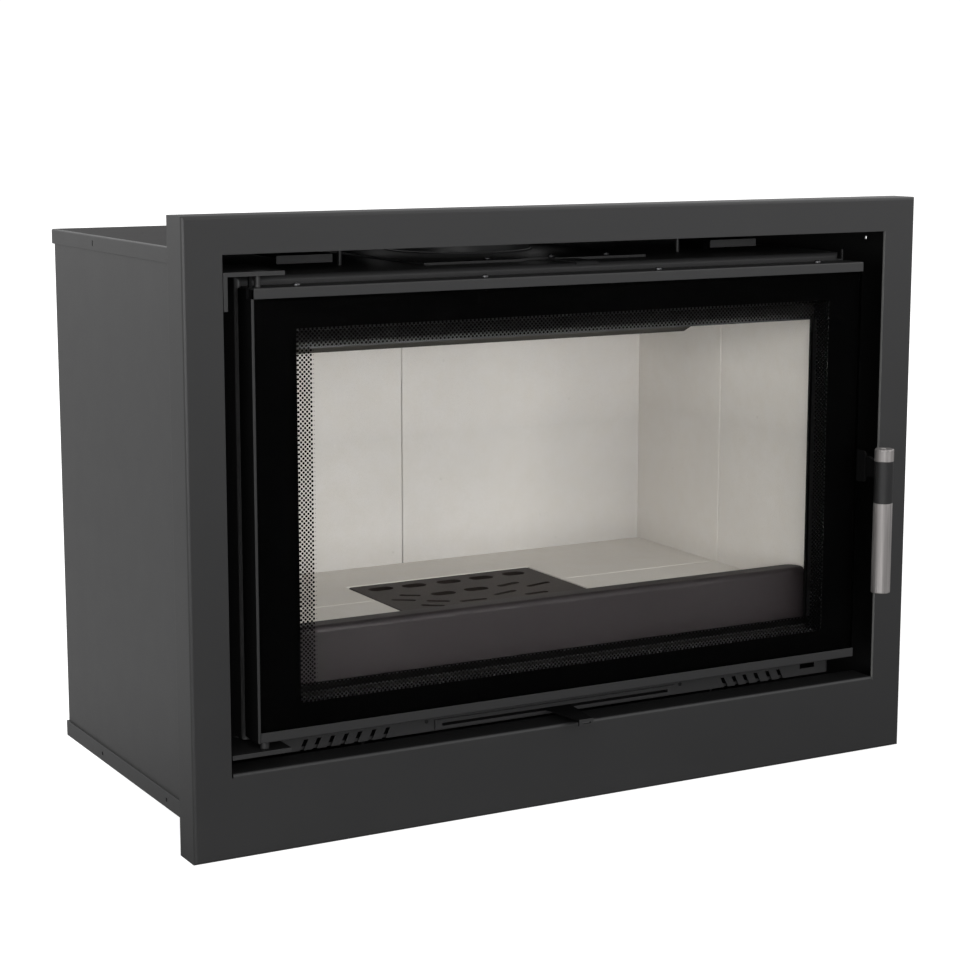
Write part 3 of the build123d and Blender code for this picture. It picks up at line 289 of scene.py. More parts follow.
def steel(name, col, rough, stretch, lines=1.0, metallic=1.0, depth=0.00004, edge=0.0003):
    """Brushed steel; stretch gives the noise scale along x, y and z."""
    m, nt, bs, out = mat_base(name)
    v = coords(nt, stretch)
    plain = coords(nt)
    streak = noise(nt, v, 1.0, 3.0, 0.6)
    broad = noise(nt, coords(nt, tuple(s * 0.55 for s in stretch)), 1.0, 2.0, 0.5)
    smear = noise(nt, plain, 40.0, 3.0)
    tone = mix_col(nt, remap(nt, streak, 0.3, 0.7, 0, 1), scaled(col, 1 - 0.16 * lines), scaled(col, 1 + 0.14 * lines))
    tone = mix_col(nt, remap(nt, broad, 0.40, 0.60, 0, 0.75), tone, scaled(col, 0.72))
    nt.links.new(tone, bs.inputs["Base Color"])
    bs.inputs["Metallic"].default_value = metallic
    r = math_node(nt, "ADD", remap(nt, streak, 0.3, 0.7, rough - 0.06, rough + 0.08),
                  remap(nt, smear, 0.3, 0.7, -0.03, 0.04))
    nt.links.new(r, bs.inputs["Roughness"])
    nt.links.new(bump(nt, streak, 0.35, depth, edge), bs.inputs["Normal"])
    return m


def plated(name, col, rough=0.34, edge=0.0003):
    """Zinc plated small parts: metal with a fine frosted skin."""
    m, nt, bs, out = mat_base(name)
    v = coords(nt)
    f = noise(nt, v, 1600.0, 3.0, 0.6)
    g = noise(nt, v, 140.0, 3.0)
    tone = mix_col(nt, remap(nt, g, 0.3, 0.7, 0, 1), scaled(col, 0.82), scaled(col, 1.12))
    nt.links.new(tone, bs.inputs["Base Color"])
    bs.inputs["Metallic"].default_value = 1.0
    nt.links.new(remap(nt, f, 0.3, 0.7, rough - 0.06, rough + 0.1), bs.inputs["Roughness"])
    nt.links.new(bump(nt, f, 0.3, 0.00004, edge), bs.inputs["Normal"])
    return m


def moulding(name, col, rough=0.42):
    """Black heat resistant moulding with a fine spark-eroded texture."""
    m, nt, bs, out = mat_base(name)
    v = coords(nt)
    f = noise(nt, v, 1900.0, 2.0, 0.6)
    g = noise(nt, v, 30.0, 3.0)
    tone = mix_col(nt, remap(nt, g, 0.3, 0.7, 0, 1), scaled(col, 0.88), scaled(col, 1.15))
    nt.links.new(tone, bs.inputs["Base Color"])
    nt.links.new(remap(nt, f, 0.3, 0.7, rough - 0.06, rough + 0.08), bs.inputs["Roughness"])
    bs.inputs["Specular IOR Level"].default_value = 0.33
    nt.links.new(bump(nt, f, 0.45, 0.00007), bs.inputs["Normal"])
    return m


def rope_mat(name):
    m, nt, bs, out = mat_base(name)
    v = coords(nt)
    f = noise(nt, v, 1500.0, 3.0, 0.7)
    g = noise(nt, v, 90.0, 4.0)
    col = (0.0090, 0.0086, 0.0087)
    tone = mix_col(nt, remap(nt, g, 0.3, 0.7, 0, 1), scaled(col, 0.7), scaled(col, 1.5))
    tone = mix_col(nt, remap(nt, f, 0.55, 0.75, 0, 0.5), tone, (0.030, 0.029, 0.029))
    bs.inputs["Specular IOR Level"].default_value = 0.15
    nt.links.new(tone, bs.inputs["Base Color"])
    nt.links.new(remap(nt, f, 0.3, 0.7, 0.8, 0.98), bs.inputs["Roughness"])
    bs.inputs["Sheen Weight"].default_value = 0.06
    bs.inputs["Sheen Roughness"].default_value = 0.5
    nt.links.new(bump(nt, f, 0.6, 0.0003), bs.inputs["Normal"])
    return m


def glass_mat(name, ior=1.045):
    """Glass ceramic. Lamps and soft light pass straight through the pane to the firebox."""
    m, nt, bs, out = mat_base(name)
    v = coords(nt)
    g = noise(nt, v, 9.0, 3.0)
    tone = mix_col(nt, remap(nt, g, 0.3, 0.7, 0, 1), (0.955, 0.953, 0.945), (0.975, 0.973, 0.968))
    nt.links.new(tone, bs.inputs["Base Color"])
    bs.inputs["Roughness"].default_value = 0.0
    bs.inputs["IOR"].default_value = ior
    bs.inputs["Transmission Weight"].default_value = 1.0
    tr = nt.nodes.new("ShaderNodeBsdfTransparent")
    tr.inputs[0].default_value = (0.94, 0.94, 0.93, 1)
    lp = nt.nodes.new("ShaderNodeLightPath")
    fac = math_node(nt, "MAXIMUM", lp.outputs["Is Shadow Ray"], lp.outputs["Is Diffuse Ray"])
    mx = nt.nodes.new("ShaderNodeMixShader")
    nt.links.new(fac, mx.inputs[0])
    nt.links.new(bs.outputs[0], mx.inputs[1])
    nt.links.new(tr.outputs[0], mx.inputs[2])
    nt.links.new(mx.outputs[0], out.inputs[0])
    return m


def enamel(name):
    m, nt, bs, out = mat_base(name)
    v = coords(nt)
    f = noise(nt, v, 700.0, 3.0, 0.6)
    tone = mix_col(nt, remap(nt, f, 0.3, 0.7, 0, 1), (0.00035, 0.00035, 0.00037), (0.0007, 0.0007, 0.00072))
    nt.links.new(tone, bs.inputs["Base Color"])
    nt.links.new(remap(nt, f, 0.3, 0.7, 0.38, 0.5), bs.inputs["Roughness"])
    bs.inputs["Specular IOR Level"].default_value = 0.004
    return m


# face paint, with painted light and shade graded across it
M_FRAME = painted_light_grade(paint("m_face_paint", (0.0125, 0.0125, 0.0128), rough=0.40))
M_CASING = paint("m_casing_paint", (0.0130, 0.0130, 0.0133), rough=0.40, grain=1100.0)
M_STOVE = paint("m_stove_paint", (0.0110, 0.0109, 0.0112), rough=0.48, spec=0.42, grain=1200.0, depth=0.00004)
# black iron; also laid on faces in shadow as painted shade
M_DARK_AND_SHADE = paint("m_black_iron_and_painted_shade", (0.0045, 0.0045, 0.0047), rough=0.55, spec=0.22, grain=1200.0, depth=0.00004)
# near-black dull paint, used as painted shade
M_SHADE = paint("m_dull_black_and_painted_shade", (0.0022, 0.0022, 0.0023), rough=0.68, spec=0.06, grain=1200.0, depth=0.00004)
M_FRONT = front_paint("m_front_paint", (0.0110, 0.0109, 0.0112), (0.0030, 0.0029, 0.0029), rough=0.48, spec=0.42,
                      grain=1200.0, depth=0.00004)
# painted highlight
M_EDGE_HIGHLIGHT = paint("m_edge_painted_highlight", (0.110, 0.110, 0.108), rough=0.50, grain=1300.0)
M_GUARD = paint("m_guard_paint", (0.0100, 0.0082, 0.0088), rough=0.50, spec=0.21, grain=1300.0)
M_LID = paint("m_lid_paint", (0.0132, 0.0122, 0.0126), rough=0.56, spec=0.22, grain=1100.0)
# painted highlight
M_RIM_HIGHLIGHT = paint("m_rim_painted_highlight", (0.0560, 0.0556, 0.0562), rough=0.46, spec=0.50, grain=1200.0)
# painted shade
M_PANEL_SHADE = paint("m_panel_painted_shade", (0.0085, 0.0085, 0.0086), rough=0.52, spec=0.32, grain=1100.0)
# painted shade
M_LIP_SHADE = paint("m_lip_painted_shade", (0.0050, 0.0050, 0.0051), rough=0.60, spec=0.16, grain=1200.0)
M_GRATE = cast("m_cast_iron", (0.0262, 0.0213, 0.0200))
# painted shade
M_HOLE_SHADE = cast("m_cast_iron_hole_shade", (0.0115, 0.0088, 0.0080), rough=0.8, spec=0.15)
# the lining boards carry painted light and shade: lighter towards the top of the walls and the left of the floor
M_BOARD = board("m_mineral_board", (0.60, 0.582, 0.568), painted_light_rise=(0.312, 0.400, 0.84, 1.29))
M_BOARD_FLOOR = board("m_mineral_board_floor", (0.68, 0.655, 0.622), painted_light_rise=(-0.300, -0.190, 1.25, 1.0), along=0)
M_BOARD_SIDE = board("m_mineral_board_side", (0.675, 0.652, 0.624), painted_light_rise=(0.330, 0.392, 1.01, 1.28))
M_BAFFLE = board("m_baffle_board", (0.060, 0.057, 0.052))
M_STAIN = steel("m_stainless", (0.285, 0.271, 0.266), 0.49, (620.0, 620.0, 12.0), lines=1.5, metallic=0.75)
M_GALV = steel("m_galvanised", (0.30, 0.30, 0.30), 0.42, (60.0, 60.0, 60.0), lines=0.8, depth=0.00002)
M_ZINC = plated("m_zinc", (0.42, 0.42, 0.41))
M_DARKSCREW = plated("m_dark_screw", (0.15, 0.15, 0.155), 0.42)
M_COLLAR = moulding("m_collar", (0.0085, 0.0085, 0.0088))
M_ROPE = rope_mat("m_rope")
M_GLASS = glass_mat("m_glass", 1.0)
M_GLASS_RIM = glass_mat("m_glass_rim", 1.0)
M_ENAMEL = enamel("m_enamel")


def dress(names, mat):
    for name in names.split():
        me = nodes[name].data
        me.materials.clear()
        me.materials.append(mat)


dress("surround_frame hinge_bracket_top hinge_bracket_bottom door_top_strip door_bottom_strip door_left_strip hinge_spacer "
      "lid_studs flue_plate", M_FRAME)
dress("casing_left casing_right casing_back casing_lid casing_base", M_CASING)
dress("firebox_side_left firebox_side_right firebox_back firebox_top plenum_floor firebox_supports air_slide_guide "
      "door_frame", M_STOVE)
dress("firebox_front", M_FRONT)
dress("hearth_plate upper_deflector", M_DARK_AND_SHADE)
dress("flue_collar", M_CASING)
# near-black dull paint, partly painted shade: these small parts sit in shadow, and the ash pan shows through the grate
# holes
dress("air_slide latch_plate handle_arm latch_bolt lid_brackets ash_pan", M_SHADE)
dress("baffle_ledge log_guard", M_GUARD)
dress("grate_frame grate", M_GRATE)
dress("lining_back_left lining_back_right lining_side_left_front lining_side_left_rear", M_BOARD)
dress("baffle", M_BAFFLE)
dress("floor_board_front floor_board_rear", M_BOARD_FLOOR)
dress("lining_side_right_front lining_side_right_rear", M_BOARD_SIDE)
dress("frame_brackets", M_GALV)
dress("baffle_pins latch_keeper", M_ZINC)


def repaint(name, mat, test):
    """Gives another material (a finish, painted shade or painted highlight) to those faces of a CAD node that pass the
    test on (centre in drawing measures, normal).
    """
    me = nodes[name].data
    me.materials.append(mat)
    k = len(me.materials) - 1
    for f in me.polygons:
        c = f.center
        if test((c.x * 1000, c.y * 1000 + DEPTH_MID, c.z * 1000 - LIFT), f.normal):
            f.material_index = k


# painted shade on the sides of the left trim profile and on its short upper part, which lie in the recess behind the
# frame
repaint("door_left_strip", M_SHADE, lambda c, n: n.y > -0.5 or c[1] > 0)
# painted shade on the door frame's outer sides and on its inner right faces
repaint("door_frame", M_SHADE, lambda c, n: abs(n.x) > 0.5 and (abs(c[0]) > 330 or c[0] > 280 and n.x < 0))
# painted shade on the left part of the upper hinge bracket's leg
repaint("hinge_bracket_top", M_SHADE, lambda c, n: c[2] < 524.8 and -337 < c[0] < -334)
# painted shade on the flue plate's top behind its front edge
repaint("flue_plate", M_DARK_AND_SHADE, lambda c, n: n.z > 0.99 and c[1] > 77)
# lip of the face frame: painted shade on its flat top, which lies in shadow under the door; the bend keeps the face
# paint
repaint("surround_frame", M_LIP_SHADE, lambda c, n: abs(n.z) > 0.99 and 70 < c[2] < 80)
# painted highlight on the thickness face at the right edge of the frame opening
repaint("surround_frame", M_EDGE_HIGHLIGHT, lambda c, n: n.x < -0.9 and 362 < c[0] < 364 and c[1] < 2)
# painted shade on the inner face of the right casing panel
repaint("casing_right", M_PANEL_SHADE, lambda c, n: n.x < -0.5)
# painted shade on the lid's underside
repaint("casing_lid", M_DARK_AND_SHADE, lambda c, n: n.z < -0.5)
repaint("casing_lid", M_LID, lambda c, n: n.z > 0.999)
# painted shade on the top of the lower hinge bracket
repaint("hinge_bracket_bottom", M_LIP_SHADE, lambda c, n: n.z > 0.9)
# painted shade on the top face of the mouth's lower edge
repaint("firebox_front", M_DARK_AND_SHADE, lambda c, n: n.z > 0.9 and 138 < c[2] < 144)
# painted highlight on the rounded left rim of the firebox front
repaint("firebox_front", M_RIM_HIGHLIGHT, lambda c, n: n.x < -0.40 and c[0] < -329 and c[1] < 42 and 95 < c[2] < 516.4)
# painted shade over the whole hearth plate, which sits in shadow below the mouth
repaint("hearth_plate", M_SHADE, lambda c, n: True)
repaint("lid_brackets", M_FRAME, lambda c, n: c[1] < 94)
repaint("air_slide", M_FRAME, lambda c, n: n.y < -0.9 and c[1] < -19.9)
# painted shade on the walls of the grate's holes
repaint("grate", M_HOLE_SHADE, lambda c, n: abs(n.z) < 0.3 and abs(c[0]) < 107.5 and 143 < c[1] < 280)

# ---------------------------------------------------------------------------
# Mesh helpers for the detailed pieces
# ---------------------------------------------------------------------------


class Build:
    """Collects closed shells into one mesh."""

    def __init__(self):
        self.v = []
        self.f = []

    def rings(self, rings, cap0=True, cap1=True, closed=False):
        n = len(rings[0])
        start = len(self.v)
        for r in rings:
            self.v.extend(r)
        k = len(rings)
        last = k if closed else k - 1
        for i in range(last):
            a, b = start + i * n, start + ((i + 1) % k) * n
            for j in range(n):
                q = (j + 1) % n
                self.f.append((a + j, a + q, b + q, b + j))
        if not closed:
            if cap0:
                self.f.append(tuple(start + j for j in reversed(range(n))))
            if cap1:
                self.f.append(tuple(start + (k - 1) * n + j for j in range(n)))

    def make(self, name, mat, body, replaces=None, smooth=35.0):
        me = bpy.data.meshes.new(name)
        me.from_pydata([tuple(p) for p in self.v], [], self.f)
        me.materials.append(mat)
        bm = bmesh.new()
        bm.from_mesh(me)
        bmesh.ops.recalc_face_normals(bm, faces=bm.faces)
        for e in bm.edges:
            e.smooth = not (len(e.link_faces) == 2 and e.calc_face_angle(0) > math.radians(smooth))
        for f in bm.faces:
            f.smooth = True
        bm.to_mesh(me)
        bm.free()
        o = bpy.data.objects.new(name, me)
        bpy.context.scene.collection.objects.link(o)
        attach(o, body)
        if replaces:
            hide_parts(*([replaces] if isinstance(replaces, str) else replaces))
        return o


def basis(axis):
    z = Vector(axis).normalized()
    x = Vector((1, 0, 0)) if abs(z.x) < 0.9 else Vector((0, 1, 0))
    x = (x - z * x.dot(z)).normalized()
    return x, z.cross(x), z


def ring(c, ax, r, n, radial=None, turn=0.0):
    x, y, z = ax
    pts = []
    for j in range(n):
        t = 2 * math.pi * j / n + turn
        rr = r if radial is None else r * radial(t)
        pts.append(c + x * (rr * math.cos(t)) + y * (rr * math.sin(t)))
    return pts


def lathe(B, c, axis, profile, n=64):
    """profile: (radius, distance along the axis) in metres."""
    ax = basis(axis)
    B.rings([ring(c + ax[2] * t, ax, max(r, 1e-6), n) for r, t in profile])


def cross_star(t):
    return 0.34 + 0.66 * abs(math.cos(2 * t)) ** 9


def hex_star(t):
    a = (t % (math.pi / 3)) - math.pi / 6
    return math.cos(math.pi / 6) / math.cos(a)


def pan_screw(B, c, axis, r, h, turn=0.0, n=48, star=cross_star, shank=None):
    """Pan head with a recess. c is the centre of its seat, r and h in metres."""
    ax = basis(axis)
    z = ax[2]
    rings = []
    if shank:
        sr, sl = shank
        rings += [ring(c - z * sl, ax, sr, n), ring(c, ax, sr, n)]
    rings += [ring(c, ax, r * 0.97, n), ring(c + z * h * 0.12, ax, r, n), ring(c + z * h * 0.45, ax, r, n),
              ring(c + z * h * 0.72, ax, r * 0.93, n), ring(c + z * h * 0.90, ax, r * 0.80, n),
              ring(c + z * h, ax, r * 0.64, n)]
    rim = [ring(c + z * h, ax, r * 0.56, n, star, turn), ring(c + z * h * 0.93, ax, r * 0.53, n, star, turn),
           ring(c + z * h * 0.45, ax, r * 0.40, n, star, turn)]
    B.rings(rings + rim)


def hex_nut(B, c, axis, across, h, bore, n=72):
    ax = basis(axis)
    z = ax[2]
    R = across / 2 / math.cos(math.pi / 6)

    def hexr(k):
        def f(t):
            a = (t % (math.pi / 3)) - math.pi / 6
            return min(math.cos(math.pi / 6) / math.cos(a), k)
        return f
    B.rings([ring(c, ax, bore, n), ring(c, ax, across / 2 * 0.94, n), ring(c + z * h * 0.10, ax, R, n, hexr(1.0)),
             ring(c + z * h * 0.90, ax, R, n, hexr(1.0)), ring(c + z * h, ax, across / 2 * 0.94, n),
             ring(c + z * h, ax, bore, n)], closed=True)


def plate_box(B, p0, p1, r=0.0):
    """Axis-aligned block between two corners with slightly broken edges."""
    x0, y0, z0 = (min(a, b) for a, b in zip(p0, p1))
    x1, y1, z1 = (max(a, b) for a, b in zip(p0, p1))
    r = min(r, (x1 - x0) / 3, (y1 - y0) / 3, (z1 - z0) / 3)

    def loop(z, k):
        return [Vector((x0 + k, y0 + r, z)), Vector((x0 + r, y0 + k, z)), Vector((x1 - r, y0 + k, z)),
                Vector((x1 - k, y0 + r, z)), Vector((x1 - k, y1 - r, z)), Vector((x1 - r, y1 - k, z)),
                Vector((x0 + r, y1 - k, z)), Vector((x0 + k, y1 - r, z))]
    B.rings([loop(z0, r * 0.999), loop(z0 + r, 0), loop(z1 - r, 0), loop(z1, r * 0.999)])


def bead(B, a, b, r, up, pitch=0.0022, seed=0, n=10):
    """Weld bead along a straight line: overlapping ripples, slightly uneven."""
    a, b = Vector(a), Vector(b)
    L = (b - a).length
    t = (b - a).normalized()
    u = (Vector(up) - t * Vector(up).dot(t)).normalized()
    w = t.cross(u)
    steps = max(8, int(L / (pitch / 4)))
    rings = []
    for i in range(steps + 1):
        s = L * i / steps
        ph = (s / pitch) % 1.0
        k = 0.80 + 0.20 * math.sin(math.pi * ph)
        k *= 1 + 0.10 * mnoise.noise(Vector((s * 160, seed * 3.1, 0.5)))
        end = min(1.0, (min(s, L - s) + 0.0004) / 0.0018)
        k *= math.sqrt(max(end, 0.02))
        c = a + t * s + w * (0.0002 * mnoise.noise(Vector((s * 90, seed, 2.0))))
        rings.append([c + u * (r * k * math.cos(2 * math.pi * j / n)) * 0.8 + w * (r * k * math.sin(2 * math.pi * j / n))
                      for j in range(n)])
    B.rings(rings)


def bead_ring(B, c, R, r, pitch=0.0025, n=10, seed=0):
    steps = int(2 * math.pi * R / (pitch / 4))
    rings = []
    for i in range(steps):
        th = 2 * math.pi * i / steps
        ph = (R * th / pitch) % 1.0
        k = (0.82 + 0.18 * math.sin(math.pi * ph)) * (1 + 0.08 * mnoise.noise(Vector((math.cos(th) * 9, math.sin(th) * 9, seed))))
        o = Vector((math.cos(th), math.sin(th), 0))
        rings.append([c + o * (R + r * k * math.cos(2 * math.pi * j / n)) + Vector((0, 0, r * k * math.sin(2 * math.pi * j / n)))
                      for j in range(n)])
    B.rings(rings, closed=True)


# ---- screws -----------------------------------------------------------------
B = Build()
for i, x in enumerate((-287.0, -96.0, 96.0, 287.0)):
    pan_screw(B, V(x, 9.5, 514.4), (0, 0, 1), 0.0035, 0.0022, turn=0.4 + 0.9 * i, shank=(0.0019, 0.0034))
    pan_screw(B, V(x, 9.5, 104.5), (0, 0, -1), 0.0035, 0.0022, turn=0.2 + 0.7 * i, shank=(0.0019, 0.0034))
B.make("door_screw_set", M_DARKSCREW, "door", "door_screws")

B = Build()
for i, (d, h) in enumerate(((-12.3, 294.5), (12.5, 294.5), (-12.3, 317.5), (12.5, 317.5))):
    pan_screw(B, V(336.4, d, h), (1, 0, 0), 0.0022, 0.0004, turn=0.3 + 0.8 * i)
B.make("latch_screw_set", M_DARKSCREW, "door", "latch_screws")

B = Build()
for i, x in enumerate((-145.5, 145.5)):
    pan_screw(B, V(x, 35.0, 89.8), (0, -1, 0), 0.0019, 0.0010, turn=0.5 * i)
B.make("guide_screw_set", M_DARK_AND_SHADE, "insert_body", "guide_screws")

B = Build()
for i, (x, d) in enumerate(((-47.0, 92.0), (24.5, 92.0), (88.0, 92.0), (-112.0, 330.0), (112.0, 330.0))):
    pan_screw(B, V(x, d, 524.3), (0, 0, 1), 0.0032, 0.0020, turn=0.7 * i)
B.make("flue_plate_screw_set", M_DARKSCREW, "insert_body", "flue_plate_screws")

B = Build()
k = 0
for x in (-330.0, -110.0, 110.0, 330.0):
    for h in (45.5, 542.0):
        pan_screw(B, V(x, 340.8, h), (0, 1, 0), 0.0040, 0.0022, turn=0.37 * k)
        k += 1
B.make("casing_screw_set", M_ZINC, "insert_body", "casing_screws")

# ---- handle ------------------------------------------------------------------
HB = (338.5, -41.5)
R = 0.00975
B = Build()
lathe(B, V(*HB, 315.2), (0, 0, 1),
      [(R - 0.0012, 0.0), (R - 0.0004, 0.0), (R, 0.0004), (R, 0.0007), (R, 0.0115), (R, 0.0119), (R - 0.00025, 0.0124), (R - 0.0008, 0.0128),
       (0.0040, 0.0128), (0.0037, 0.0126), (0.0036, 0.0118), (0.0002, 0.0116)], 96)
B.make("handle_end_turned", M_STAIN, "handle", "handle_tube_upper", smooth=28)
B = Build()
lathe(B, V(*HB, 179.6), (0, 0, 1),
      [(0.0002, 0.0014), (0.0034, 0.0012), (0.0036, 0.0002), (0.0040, 0.0), (R - 0.0008, 0.0), (R - 0.00025, 0.0004),
       (R, 0.0009), (R, 0.0012), (R, 0.0922), (R, 0.0925), (R - 0.0004, 0.0929), (R - 0.0012, 0.0929)], 96)
B.make("handle_grip_turned", M_STAIN, "handle", "handle_tube_lower", smooth=28)
B = Build()
Rc = R - 0.00012
lathe(B, V(*HB, 272.5), (0, 0, 1),
      [(Rc - 0.0010, 0.0), (Rc - 0.0003, 0.0), (Rc, 0.0003), (Rc, 0.0424), (Rc - 0.0003, 0.0427), (Rc - 0.0010, 0.0427)], 96)
B.make("handle_collar_moulded", M_COLLAR, "handle", "handle_collar", smooth=28)

# ---- hinge pins: round rivet head above, turned shank ---------------------------
B = Build()
c = V(-325.5, 8.0, 500.0)
top = 0.0288
lathe(B, c, (0, 0, 1),
      [(0.0022, 0.0), (0.0029, 0.0007), (0.0029, top), (0.0083, top), (0.0085, top + 0.0002), (0.0085, top + 0.0003),
       (0.0080, top + 0.0005), (0.0045, top + 0.0008), (0.0004, top + 0.0009)], 64)
c = V(-325.5, 8.0, 92.2)
lathe(B, c, (0, 0, 1), [(0.0022, 0.0), (0.0029, 0.0006), (0.0029, 0.0250), (0.0022, 0.0258)], 48)
B.make("hinge_pin_set", M_FRAME, "insert_body", "hinge_pins", smooth=32)

# ---- levelling feet ------------------------------------------------------------
B = Build()
for x in (-300.0, 300.0):
    for d in (70.0, 290.0):
        c = V(x, d, -1.0)
        lathe(B, c, (0, 0, 1), [(0.0190, 0.0), (0.0197, 0.0003), (0.0200, 0.0010), (0.0200, 0.0036), (0.0196, 0.0046),
                                (0.0180, 0.0054), (0.0100, 0.0064), (0.0078, 0.0076), (0.0074, 0.0090), (0.0068, 0.0095),
                                (0.0030, 0.0096)], 80)
        # threaded rod
        n, p, rings = 36, 0.0015, []
        ax = basis((0, 0, 1))
        z0, z1 = 0.0090, 0.0312
        steps = int((z1 - z0) / 0.00025)
        for i in range(steps + 1):
            z = z0 + (z1 - z0) * i / steps
            rings.append(ring(c + Vector((0, 0, z)), ax, 0.0050, n,
                              lambda t, z=z: 1 - 0.15 * abs(((z / p - t / (2 * math.pi)) % 1.0) * 2 - 1)))
        B.rings(rings)
        hex_nut(B, c + Vector((0, 0, 0.0299)), (0, 0, 1), 0.0170, 0.0060, 0.0042)
B.make("levelling_foot_set", M_ZINC, "insert_body", "levelling_feet", smooth=30)

# ---- door glass: pane, black enamel border, dotted band ---------------------------
GX, G0, G1 = 334.2, 106.0, 512.9
B = Build()


def pane_loop(k, y):
    k += 0.12
    return [V(-GX + k, y, G0 + k), V(GX - k, y, G0 + k), V(GX - k, y, G1 - k), V(-GX + k, y, G1 - k)]


def window_loop(y):
    return [V(-297.0, y, 133.0), V(297.0, y, 133.0), V(297.0, y, 479.5), V(-297.0, y, 479.5)]


B.rings([window_loop(-3.4), pane_loop(0.6, -3.4), pane_loop(0.1, -3.05), pane_loop(0.0, -2.9), pane_loop(0.0, 0.05),
         pane_loop(0.5, 0.50), window_loop(0.50)])
pane = B.make("door_glass_pane", M_GLASS, "door", "door_glass", smooth=20)
pane.data.materials.append(M_GLASS_RIM)
for f in pane.data.polygons:
    c = f.center
    if not (abs(f.normal.y) > 0.9 and abs(c.x) < 0.05 and abs(c.z * 1000 - LIFT - 306.2) < 30 and f.area > 0.1):
        f.material_index = 1

# border: a thin frame of enamel on the back of the pane
IX, I0, I1 = 294.1, 135.9, 477.0
SH = 2.2  # the print sits slightly to the right of the pane's middle
B = Build()
ENY0, ENY1 = 0.515, 0.575


def border_ring(y, x, h0, h1, r, n=6, sh=0.0):
    pts = []
    for cx, ch, a0 in ((x - r, h0 + r, -90), (x - r, h1 - r, 0), (-x + r, h1 - r, 90), (-x + r, h0 + r, 180)):
        for i in range(n + 1):
            a = math.radians(a0 + 90 * i / n)
            pts.append(V(cx + sh + r * math.cos(a), y, ch + r * math.sin(a)))
    return pts


B.rings([border_ring(ENY0, GX - 0.08, G0 + 0.08, G1 - 0.08, 0.3), border_ring(ENY0, IX, I0, I1, 0.8, sh=SH),
         border_ring(ENY1, IX, I0, I1, 0.8, sh=SH), border_ring(ENY1, GX, G0, G1, 0.3),
         border_ring(-2.95, GX, G0, G1, 0.3), border_ring(-2.95, GX - 0.08, G0 + 0.08, G1 - 0.08, 0.3)], closed=True)
B.make("door_glass_enamel", M_ENAMEL, "door", None, smooth=20)

# dots: staggered rows between the border and the clear window
B = Build()
WX, W0, W1 = 278.9, 151.6, 461.0
PX = (IX - WX) / 7.2
PH = PX * 2


def dot(x, h, r, n=10):
    x += SH
    a = [V(x + r * math.cos(2 * math.pi * i / n), ENY0, h + r * math.sin(2 * math.pi * i / n)) for i in range(n)]
    b = [V(x + r * math.cos(2 * math.pi * i / n), ENY1, h + r * math.sin(2 * math.pi * i / n)) for i in range(n)]
    B.rings([a, b])


nx = int(round((2 * IX) / PX))
px = 2 * IX / nx
nh = int(round((I1 - I0) / PX))
ph = (I1 - I0) / nh
for i in range(nx):
    for j in range(nh):
        if (i + j) % 2:
            continue
        x = -IX + (i + 0.5) * px
        h = I0 + (j + 0.5) * ph
        if abs(x) > WX - 0.2 or h < W0 + 0.2 or h > W1 - 0.2:
            dot(x, h, 1.2)
# a last row of tiny dots along the clear window
for i in range(nx):
    x = -IX + (i + 0.5) * px
    for h, par in ((W0 + 1.15, 0), (W1 - 1.15, 1)):
        if abs(x) < WX - 0.8 and i % 2 == par:
            dot(x, h, 0.34, 8)
for j in range(nh):
    h = I0 + (j + 0.5) * ph
    for x, par in ((-WX + 1.15, 0), (WX - 1.15, 1)):
        if W0 + 1.5 < h < W1 - 1.5 and j % 2 == par:
            dot(x, h, 0.34, 8)
B.make("door_glass_dots", M_ENAMEL, "door", None, smooth=20)

# ---- door gasket: knitted rope ------------------------------------------------------
def rope_path(step=1.15):
    """Centre line of the rope as points, round its rectangle."""
    hx, h0, h1, r = 312.0, 131.0, 466.0, 9.0
    segs = []
    pts = []
    corners = [(hx - r, h0 + r, -90), (hx - r, h1 - r, 0), (-hx + r, h1 - r, 90), (-hx + r, h0 + r, 180)]
    for q in range(4):
        cx, ch, a0 = corners[q]
        m = 14
        for i in range(m + 1):
            a = math.radians(a0 + 90 * i / m)
            pts.append((cx + r * math.cos(a), ch + r * math.sin(a)))
        nxt = corners[(q + 1) % 4]
        a1 = math.radians(a0 + 90)
        p = (cx + r * math.cos(a1), ch + r * math.sin(a1))
        a2 = math.radians(nxt[2])
        s = (nxt[0] + r * math.cos(a2), nxt[1] + r * math.sin(a2))
        L = math.hypot(s[0] - p[0], s[1] - p[1])
        k = int(L / step)
        for i in range(1, k):
            pts.append((p[0] + (s[0] - p[0]) * i / k, p[1] + (s[1] - p[1]) * i / k))
    return pts


B = Build()
pts = rope_path()
n = 26
cum = 0.0
rings = []
N = len(pts)
total = sum(math.hypot(pts[(i + 1) % N][0] - pts[i][0], pts[(i + 1) % N][1] - pts[i][1]) for i in range(N))
braids = round(total / 7.0)
for i in range(N):
    p, q = pts[i], pts[(i + 1) % N]
    o = pts[i - 1]
    tx, th = q[0] - o[0], q[1] - o[1]
    tl = math.hypot(tx, th)
    tx, th = tx / tl, th / tl
    u = 2 * math.pi * braids * cum / total
    rr = []
    for j in range(n):
        a = 2 * math.pi * j / n
        w1 = math.cos(4 * a + u)
        w2 = math.cos(4 * a - u)
        rad = 1.0 - 0.055 + 0.06 * max(w1, w2)
        ox = math.cos(a) * 5.9 * rad          # across the rope, in the door's plane
        oy = math.sin(a) * 4.45 * rad         # towards the firebox
        rr.append(V(p[0] + th * ox, 30.0 + oy, p[1] - tx * ox))
    rings.append(rr)
    cum += math.hypot(q[0] - p[0], q[1] - p[1])
B.rings(rings, closed=True)
B.make("door_gasket_rope", M_ROPE, "door", "door_gasket", smooth=60)

